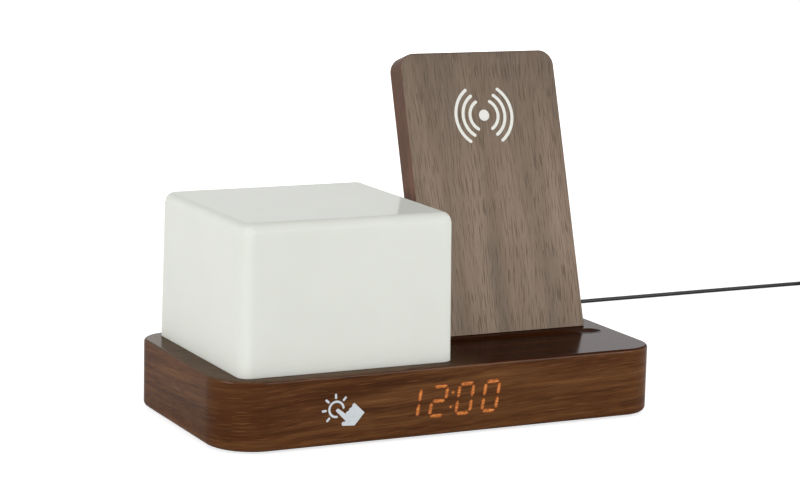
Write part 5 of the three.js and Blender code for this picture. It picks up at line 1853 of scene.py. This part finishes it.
    def make_cover(self) -> None:
        """Makes the rear cover, sunk flush in the panel, with its four screw recesses."""
        inset = self.wall + FIT
        x, front = self.width / 2 - inset, self.thickness - self.cover_thickness
        low = self.shoulder_height(self.thickness) + self.floor + FIT
        cover = block((-x, front, low), (x, self.thickness, self.length - inset))
        tops = edges_where(cover, lambda a, b: level(Z, self.length - inset)(a, b) and standing(Y)(a, b))
        round_off(cover, tops, self.corner - inset, self.cover_corner_steps)
        round_off(cover, edges_where(cover, level(Y, self.thickness)), FIT, segments=2)
        piece = as_object("stand_back", cover)
        sink = self.thickness - Screw.head_thickness
        heads = []
        for x, z in self.post_places().values():
            place = at(x, 0.0, z) @ TO_REAR
            heads.append(rod(Screw.head + 2 * FIT, sink, self.thickness + FIT, place))
        carve(piece, heads)
        piece.data.transform(self.place)
        self.finish_piece(piece, Finish.BLACK_PLASTIC, ("stand_rear_cover",))

    def make_screws(self) -> None:
        """Makes the four screws in the rear cover."""
        for name, (x, z) in self.post_places().items():
            place = self.place @ at(x, self.thickness, z) @ TO_REAR
            piece = Screw(self.cover_screw_length).make(f"stand_screw_{name}", place)
            self.finish_piece(piece, Finish.SCREW_STEEL, (f"rear_screw_{name}",))

    def print_symbol(self) -> None:
        """Prints the charging symbol: a dot with three arcs on either side."""
        ink = Print()
        ink.disc((0.0, 0.0), self.dot_radius)
        for radius, half_deg in zip(self.arc_radii, self.arc_half_deg):
            half = math.radians(half_deg)
            for side in (0.0, math.pi):
                ink.arc(radius, side - half, side + half, self.arc_stroke)
        place = self.place @ at(0.0, 0.0, self.symbol_height) @ TO_FRONT
        self.finish_piece(ink.press("charging_symbol", place), STAND_INK)

    def build(self) -> None:
        """Makes every piece of the stand."""
        self.make_panel()
        self.make_cover()
        self.make_screws()
        self.print_symbol()


@dataclass
class SettingButtons(SubAssembly):
    """The three setting buttons in the rear wall."""

    names: tuple[str, ...] = ("set", "up", "down")
    xs: tuple[float, ...] = (-0.052, -0.038, -0.024)
    height: float = 0.015
    diameter: float = 0.007
    face: float = 0.0498
    flange_face: float = 0.04725
    flange: float = 0.001
    flange_diameter: float = 0.0094
    stem: float = 0.0016
    stem_diameter: float = 0.003
    dish: float = 0.0003
    edge_steps: int = 4
    dish_steps: int = 6

    @property
    def middle_x(self) -> float:
        """Gives the X of the row's middle."""
        return sum(self.xs) / len(self.xs)

    def profile(self) -> list[Point]:
        """Lists the points of a button's profile, from its stem to its dished cap.

        Returns:
            The points.
        """
        cap, flange, stem = self.diameter / 2, self.flange_diameter / 2, self.stem_diameter / 2
        flange_front = self.flange_face - self.flange
        tip = flange_front - self.stem
        points = [(0.0, tip), (stem, tip), (stem, flange_front), (flange, flange_front)]
        points += [(flange, self.flange_face), (cap, self.flange_face)]
        for number in range(self.edge_steps + 1):
            turn = math.pi / 2 * number / self.edge_steps
            back = self.dish * (1 - math.sin(turn))
            points.append((cap - self.dish * (1 - math.cos(turn)), self.face - back))
        rim = cap - 2 * self.dish
        for number in range(1, self.dish_steps + 1):
            share = number / self.dish_steps
            points.append((rim * (1 - share), self.face - self.dish * math.sin(share * math.pi / 2)))
        return points

    def build(self) -> None:
        """Turns the three buttons, each on its own body."""
        for name, x in zip(self.names, self.xs):
            place = at(x, 0.0, self.height) @ TO_REAR
            piece = as_object(f"key_{name}", turned(self.profile(), place))
            self.finish_piece(piece, Finish.BUTTON_PLASTIC, (f"button_{name}",), body=f"{name}_key")


@dataclass
class BaseHousing(SubAssembly):
    """The walnut base: its shell, bottom cover, feet and cover screws."""

    stand: ChargingStand = field(default_factory=ChargingStand)
    lead: PowerLead = field(default_factory=PowerLead)
    buttons: SettingButtons = field(default_factory=SettingButtons)
    width: float = 0.200
    depth: float = BASE_DEPTH
    bottom: float = 0.001
    top: float = 0.030
    corner: float = 0.014
    corner_steps: int = 14
    corner_by_lamp: float = 0.020
    corner_by_lamp_steps: int = 18
    top_edge: float = 0.0013
    bottom_edge: float = 0.0022
    wall: float = BASE_WALL
    roof: float = 0.0025
    roof_normal: float = 0.6
    foot_diameter: float = 0.012
    foot_thickness: float = 0.002
    foot_inset: float = 0.019
    foot_rim: float = 0.0005
    foot_rim_fall: float = 0.00015
    foot_dish: float = 0.00025
    foot_dish_radius: float = 0.0036
    foot_ring_radius: float = 0.00408
    boss_inset: Point = (0.030, 0.018)
    cover_screw_length: float = 0.010
    cover_recess: float = 0.0005
    cover_thickness: float = 0.0024
    recess_size: Point = (0.045, 0.012)
    recess_depth: float = 0.0012
    button_hole: float = 0.0075
    lead_hole: float = 0.0056
    window_size: Point = (0.0506, 0.0175)
    window_centre: Point = (0.0005, 0.0156)
    window_skin: float = 0.0009
    socket_size: Point = (0.0736, 0.0089)
    groove_size: Place = (0.080, 0.0104, 0.0012)
    groove_to_stand: float = 0.0046
    groove_end_steps: int = 24
    groove_round_steps: int = 96
    grain_slope: float = 0.05
    roof_leaf: float = 0.3
    sound_hole: float = 0.0018
    sound_holes_round: int = 6
    sound_pitch: float = 0.0036
    sound_centre_x: float = -0.026

    def outline_block(self, inset: float, low: float, high: float) -> Mesh:
        """Makes a slab with the base's plan.

        Args:
            inset: How far its sides lie inside the base's outside.
            low: Its lower face.
            high: Its upper face.

        Returns:
            The slab.
        """
        x, y = self.width / 2 - inset, self.depth / 2 - inset
        slab = block((-x, -y, low), (x, y, high))
        uprights = edges_where(slab, standing(Z))
        by_lamp = [edge for edge in uprights if edge.verts[0].co.x < 0 and edge.verts[0].co.y < 0]
        others = [edge for edge in uprights if edge not in by_lamp]
        round_off(slab, by_lamp, self.corner_by_lamp - inset, self.corner_by_lamp_steps)
        round_off(slab, others, self.corner - inset, self.corner_steps)
        return slab

    def shell_form(self) -> Mesh:
        """Makes the housing with its rounded rims and its hollow from below.

        Returns:
            The form.
        """
        form = self.outline_block(0.0, self.bottom, self.top)
        round_off(form, edges_where(form, level(Z, self.top)), self.top_edge, segments=5)
        round_off(form, edges_where(form, level(Z, self.bottom)), self.bottom_edge, segments=6)
        under = min(form.faces, key=lambda face: face.calc_center_median().z)
        rim = self.wall - self.bottom_edge
        bmesh.ops.inset_region(form, faces=[under], thickness=rim, use_even_offset=True)
        raised = bmesh.ops.extrude_face_region(form, geom=[under])
        corners = [item for item in raised["geom"] if isinstance(item, Corner)]
        height = self.top - self.roof - self.bottom
        bmesh.ops.translate(form, verts=corners, vec=(0.0, 0.0, height))
        bmesh.ops.delete(form, geom=[under], context="FACES_ONLY")
        bmesh.ops.recalc_face_normals(form, faces=form.faces)
        return form

    def recess_cutter(self) -> Mesh:
        """Makes the cutter of the finger recess round the setting buttons.

        Returns:
            The cutter.
        """
        x, z = self.recess_size[0] / 2, self.recess_size[1] / 2
        rear, row = self.depth / 2, self.buttons
        floor = rear - self.recess_depth
        low = (row.middle_x - x, floor, row.height - z)
        high = (row.middle_x + x, rear + self.recess_depth, row.height + z)
        cutter = block(low, high)
        round_off(cutter, edges_where(cutter, standing(Y)), z - FIT, segments=12)
        round_off(cutter, edges_where(cutter, level(Y, floor)), self.recess_depth / 3, segments=3)
        return cutter

    def window_cutter(self) -> Mesh:
        """Makes the cutter that thins the front wall behind the display.

        Returns:
            The cutter.
        """
        x, z = self.window_size[0] / 2, self.window_size[1] / 2
        front = -self.depth / 2 + self.window_skin
        rear = -self.depth / 2 + 2 * self.wall
        low = (self.window_centre[0] - x, front, self.window_centre[1] - z)
        high = (self.window_centre[0] + x, rear, self.window_centre[1] + z)
        cutter = block(low, high)
        round_off(cutter, edges_where(cutter, standing(Y)), self.wall / 2, segments=4)
        return cutter

    def socket_cutter(self) -> Mesh:
        """Makes the cutter of the slot that takes the stand's foot.

        Returns:
            The cutter.
        """
        stand = self.stand
        x, y = self.socket_size[0] / 2, self.socket_size[1] / 2
        mid = stand.thickness / 2
        cutter = block((-x, mid - y, -stand.foot - FIT), (x, mid + y, stand.foot))
        bmesh.ops.transform(cutter, matrix=stand.place, verts=cutter.verts)
        return cutter

    def groove_cutter(self) -> Mesh:
        """Makes the long round-ended bar that dips into the roof to cut the telephone's groove.

        Returns:
            The cutter.
        """
        length, width, depth = self.groove_size
        radius = (width * width / 4 + depth * depth) / (2 * depth)
        reach = (length - width) / 2
        steps = self.groove_end_steps
        quarter = [math.pi / 2 * number / steps for number in range(steps + 1)]
        high = [(radius * math.cos(turn), reach + radius * math.sin(turn)) for turn in quarter]
        low = [(across, -along) for across, along in reversed(high)]
        x, y, _ = self.stand.foot_line
        place = at(x, y - self.groove_to_stand - width / 2, self.top - depth + radius)
        lying = place @ Matrix.Rotation(math.pi / 2, 4, "Y")
        return turned([*low, *high], lying, self.groove_round_steps)

    def on_roof(self, middle: Vector, normal: Vector) -> bool:
        """Tells whether a face belongs to the roof, with its groove and the upper half of its rim."""
        return normal.z > self.roof_normal and middle.z > self.top - self.top_edge - self.groove_size[2]

    def wall_chart(self, middle: Vector, normal: Vector) -> Chart:
        """Chooses how a face of the shell takes the grain: over the top, or round the walls.

        Args:
            middle: The face's middle.
            normal: The face's normal.

        Returns:
            What turns a corner into its coordinates.
        """
        under = normal.z < -FACING and middle.z < self.bottom + self.bottom_edge
        if under or self.on_roof(middle, normal):
            return lambda place: (place.x, place.y + self.roof_leaf)
        to_front, to_rear = normal.y < -FACING, middle.y > 0 and normal.y > FACING
        leftward = middle.x < 0 and not to_rear and not to_front

        def round_the_wall(place: Vector) -> Point:
            """Gives the coordinates of a place on the wall, with the grain a little aslant."""
            way = self.way_round(place, leftward)
            return way, place.z - way * self.grain_slope

        return round_the_wall

    def way_round(self, place: Vector, leftward: bool) -> float:
        """Measures the way from the middle of the front along the wall to a place.

        Args:
            place: The place.
            leftward: Whether the way goes round by the left.

        Returns:
            The length of the way, below zero to the left.
        """
        sign = -1.0 if leftward else 1.0
        front_corner = self.corner_by_lamp if leftward else self.corner
        x, y = place.x * sign, place.y
        half_width, half_depth = self.width / 2, self.depth / 2
        if x <= half_width - front_corner and y < 0:
            return sign * x
        way = half_width - front_corner
        if y < -half_depth + front_corner:
            across, back = x - way, y + half_depth - front_corner
            return sign * (way + front_corner * math.atan2(across, -back))
        way += front_corner * math.pi / 2
        if y <= half_depth - self.corner:
            return sign * (way + y + half_depth - front_corner)
        way += self.depth - front_corner - self.corner
        if x > half_width - self.corner:
            across, back = x - half_width + self.corner, y - half_depth + self.corner
            return sign * (way + self.corner * math.atan2(back, across))
        return sign * (way + self.corner * math.pi / 2 + half_width - self.corner - x)

    def make_shell(self) -> None:
        """Makes the veneered shell and cuts its openings."""
        piece = as_object("base_housing", self.shell_form())
        rear = self.depth / 2
        inside = rear - 2 * self.wall
        cutters = [self.recess_cutter(), self.window_cutter()]
        cutters += [self.socket_cutter(), self.groove_cutter()]
        for x in self.buttons.xs:
            place = at(x, 0.0, self.buttons.height) @ TO_REAR
            cutters.append(rod(self.button_hole, inside, rear, place, segments=48))
        place = at(self.lead.exit_x, 0.0, self.lead.exit_height) @ TO_REAR
        cutters.append(rod(self.lead_hole, inside, rear + self.wall, place, segments=40))
        carve(piece, cutters)
        lay_grain(piece, self.wall_chart)
        self.finish_piece(piece, Finish.WALNUT, ("base_shell",), sharp_deg=21.0)
        # Painted shade: the roof's faces take the darker roof copy of the walnut.
        veneer_over(piece, PAINTED_SHADE_ROOF_WALNUT, self.on_roof)

    def corner_places(self, inset_x: float, inset_y: float) -> dict[str, Point]:
        """Gives a place near each corner of the base by the corner's name.

        Args:
            inset_x: How far the places lie inside the sides.
            inset_y: How far they lie inside the front and the rear.

        Returns:
            The places.
        """
        x, y = self.width / 2 - inset_x, self.depth / 2 - inset_y
        sides = {"left": -x, "right": x}
        ends = {"front": -y, "rear": y}
        return {f"{end}_{side}": (sides[side], ends[end]) for end in ends for side in sides}

    def make_cover(self) -> None:
        """Makes the bottom cover with its screw and foot recesses and its sound holes."""
        low = self.bottom + self.cover_recess
        high = low + self.cover_thickness
        cover = self.outline_block(self.wall + FIT, low, high)
        round_off(cover, edges_where(cover, level(Z, low)), FIT, segments=2)
        piece = as_object("base_cover", cover)
        cutters = []
        for x, y in self.corner_places(*self.boss_inset).values():
            place = at(x, y, 0.0)
            cutters.append(rod(Screw.head + 2 * FIT, low - FIT, low + Screw.head_thickness + FIT, place))
        for x, y in self.corner_places(self.foot_inset, self.foot_inset).values():
            place = at(x, y, 0.0)
            diameter, recess_top = self.foot_diameter + 2 * FIT, self.foot_thickness + FIT
            cutters.append(rod(diameter, low - FIT, recess_top, place, segments=48))
        holes = [(0.0, 0.0)]
        for number in range(self.sound_holes_round):
            turn = 2 * math.pi * number / self.sound_holes_round
            holes.append((self.sound_pitch * math.cos(turn), self.sound_pitch * math.sin(turn)))
        for x, y in holes:
            place = at(self.sound_centre_x + x, y, 0.0)
            cutters.append(rod(self.sound_hole, low - FIT, high + FIT, place, segments=20))
        carve(piece, cutters)
        self.finish_piece(piece, Finish.BLACK_PLASTIC, ("bottom_cover",))

    def make_feet(self) -> None:
        """Turns the four rubber feet."""
        radius, rim, fall = self.foot_diameter / 2, self.foot_rim, self.foot_rim_fall
        profile = [
            (0.0, self.foot_dish),
            (self.foot_dish_radius, self.foot_dish),
            (self.foot_ring_radius, 0.0),
            (radius - rim, 0.0),
            (radius - fall, fall),
            (radius, rim),
            (radius, self.foot_thickness),
            (0.0, self.foot_thickness),
        ]
        for name, (x, y) in self.corner_places(self.foot_inset, self.foot_inset).items():
            foot = turned(profile, at(x, y, 0.0))
            piece = as_object(f"rubber_foot_{name}", foot)
            self.finish_piece(piece, Finish.FOOT_RUBBER, (f"foot_{name}",))

    def make_screws(self) -> None:
        """Makes the four screws that hold the bottom cover."""
        turn = Matrix.Rotation(math.pi, 4, "X")
        for name, (x, y) in self.corner_places(*self.boss_inset).items():
            place = at(x, y, self.bottom + self.cover_recess) @ turn
            piece = Screw(self.cover_screw_length).make(f"base_screw_{name}", place)
            self.finish_piece(piece, Finish.SCREW_STEEL, (f"cover_screw_{name}",))

    def build(self) -> None:
        """Makes every piece of the base."""
        self.make_shell()
        self.make_cover()
        self.make_feet()
        self.make_screws()


class Stroke(Enum):
    """The seven strokes of a digit: where its middle lies in half widths and half heights."""

    TOP = (0.0, 1.0)
    UPPER_LEFT = (-1.0, 0.5)
    UPPER_RIGHT = (1.0, 0.5)
    MIDDLE = (0.0, 0.0)
    LOWER_LEFT = (-1.0, -0.5)
    LOWER_RIGHT = (1.0, -0.5)
    BOTTOM = (0.0, -1.0)


LIT = {
    "0": set(Stroke) - {Stroke.MIDDLE},
    "1": {Stroke.UPPER_RIGHT, Stroke.LOWER_RIGHT},
    "2": {Stroke.TOP, Stroke.UPPER_RIGHT, Stroke.MIDDLE, Stroke.LOWER_LEFT, Stroke.BOTTOM},
}


@dataclass
class FrontPanel(SubAssembly):
    """What shows on the base's front: the lit digits and the printed touch symbol."""

    front: float = -BASE_DEPTH / 2
    display_centre: Point = (0.0006, 0.01556)
    digits: str = "1200"
    digit_pitch: float = 0.0121
    digit_width: float = 0.0064
    digit_height: float = 0.0122
    slant_deg: float = 8.6
    stroke: float = 0.0018
    stroke_rounding: float = 0.00036
    stroke_round_steps: int = 3
    lying_gap: float = 0.00005
    standing_gap: float = 0.0003
    rim: float = 0.00055
    stroke_light: float = 0.6
    dot_light: float = 0.75
    colon_spread: float = 0.006
    colon_radius: float = 0.000756
    colon_steps: int = 20
    ring_centre: Point = (-0.05147, 0.01607)
    ring_radius: float = 0.00315
    ring_stroke: float = 0.00093
    ring_open_deg: Point = (8.0, 273.0)
    ray_count: int = 5
    ray_first_deg: float = 48.4
    ray_pitch_deg: float = 45.0
    ray_span: Point = (0.00475, 0.006)
    ray_stroke: float = 0.00095
    hand: tuple[Point, ...] = (
        (0.00072, 0.00034),
        (0.00405, -0.00222),
        (0.00449, -0.00138),
        (0.00550, -0.00106),
        (0.00571, -0.00018),
        (0.00687, 0.00039),
        (0.00706, 0.00133),
        (0.00786, 0.00202),
        (0.01250, -0.00236),
        (0.00817, -0.00738),
        (0.00273, -0.00704),
        (0.00228, -0.00620),
        (0.00297, -0.00537),
        (0.00435, -0.00536),
        (-0.00010, -0.00089),
        (-0.00026, -0.00025),
    )
    hand_rounding: float = 0.00022

    def surface(self, centre: Point) -> Matrix:
        """Gives a place on the front whose Z points out of it."""
        return at(centre[0], self.front, centre[1]) @ TO_FRONT

    def stroke_corners(self, stroke: Stroke) -> list[Point]:
        """Lists the corners of one stroke about the middle of its digit.

        Args:
            stroke: The stroke.

        Returns:
            Its six corners.
        """
        across, up = stroke.value
        lies = stroke in (Stroke.TOP, Stroke.MIDDLE, Stroke.BOTTOM)
        length = self.digit_width if lies else self.digit_height / 2
        half, reach = self.stroke / 2, length / 2 - (self.lying_gap if lies else self.standing_gap)
        bar = [(-reach, 0.0), (half - reach, -half), (reach - half, -half)]
        bar += [(reach, 0.0), (reach - half, half), (half - reach, half)]
        x, y = across * self.digit_width / 2, up * self.digit_height / 2
        return [(x + a, y + b) if lies else (x + b, y + a) for a, b in bar]

    def light_digits(self) -> None:
        """Makes the lit strokes of the digits and the colon, leaning as the display leans."""
        ink = Print()
        sheet = ink.sheet
        for number, digit in enumerate(self.digits):
            x = (number - (len(self.digits) - 1) / 2) * self.digit_pitch
            for stroke in Stroke:
                if stroke in LIT[digit]:
                    corners = [(x + a, b, 0.0) for a, b in self.stroke_corners(stroke)]
                    sheet.faces.new([sheet.verts.new(corner) for corner in corners])
        for side in (-1, 1):
            ink.disc((0.0, side * self.colon_spread / 2), self.colon_radius, self.colon_steps)
        of_strokes = [v for v in sheet.verts if len(v.link_faces[0].verts) < self.colon_steps]
        round_off(sheet, of_strokes, self.stroke_rounding, self.stroke_round_steps, "VERTICES")
        self.brighten(sheet)
        lean = Matrix.Identity(4)
        lean[X][Y] = math.tan(math.radians(self.slant_deg))
        bmesh.ops.transform(sheet, matrix=lean, verts=sheet.verts)
        piece = ink.press("display_digits", self.surface(self.display_centre))
        self.finish_piece(piece, LIGHT_THROUGH_VENEER)

    def brighten(self, sheet: Mesh) -> None:
        """Gives the strokes and dots a dim rim and a bright middle.

        Args:
            sheet: The sheet with their faces.
        """
        glow = sheet.verts.layers.float.new(GLOW)
        middles = list(sheet.faces)
        bmesh.ops.inset_individual(sheet, faces=middles, thickness=self.rim, use_even_offset=True)
        for face in middles:
            x, y, _ = face.calc_center_median()
            dot = abs(x) < self.stroke and abs(abs(y) - self.colon_spread / 2) < self.stroke
            for corner in face.verts:
                corner[glow] = self.dot_light if dot else self.stroke_light

    def print_touch_symbol(self) -> None:
        """Prints the touch symbol: an open ring with rays and a pointing hand."""
        ink = Print()
        start, end = (math.radians(angle) for angle in self.ring_open_deg)
        ink.arc(self.ring_radius, start, end, self.ring_stroke)
        for number in range(self.ray_count):
            turn = math.radians(self.ray_first_deg + number * self.ray_pitch_deg)
            near, far = ((reach * math.cos(turn), reach * math.sin(turn)) for reach in self.ray_span)
            ink.bar(near, far, self.ray_stroke)
        ink.outline(self.hand, self.hand_rounding)
        self.finish_piece(ink.press("touch_symbol", self.surface(self.ring_centre)), WHITE_INK)

    def build(self) -> None:
        """Makes what shows on the front."""
        self.light_digits()
        self.print_touch_symbol()


def main() -> None:
    """Builds the studio and every sub-assembly in order."""
    logging.basicConfig(level=logging.INFO, format="%(name)s: %(message)s")
    Studio().build()
    log.info("solids dressed: %d", WARDROBE.dress_cad_nodes())
    lead, stand, buttons = PowerLead(), ChargingStand(), SettingButtons()
    base = BaseHousing(stand=stand, lead=lead, buttons=buttons)
    for sub_assembly in (lead, stand, base, NightLamp(), FrontPanel(), buttons):
        sub_assembly.build()
        sub_assembly.report()


if __name__ == "__main__":
    main()
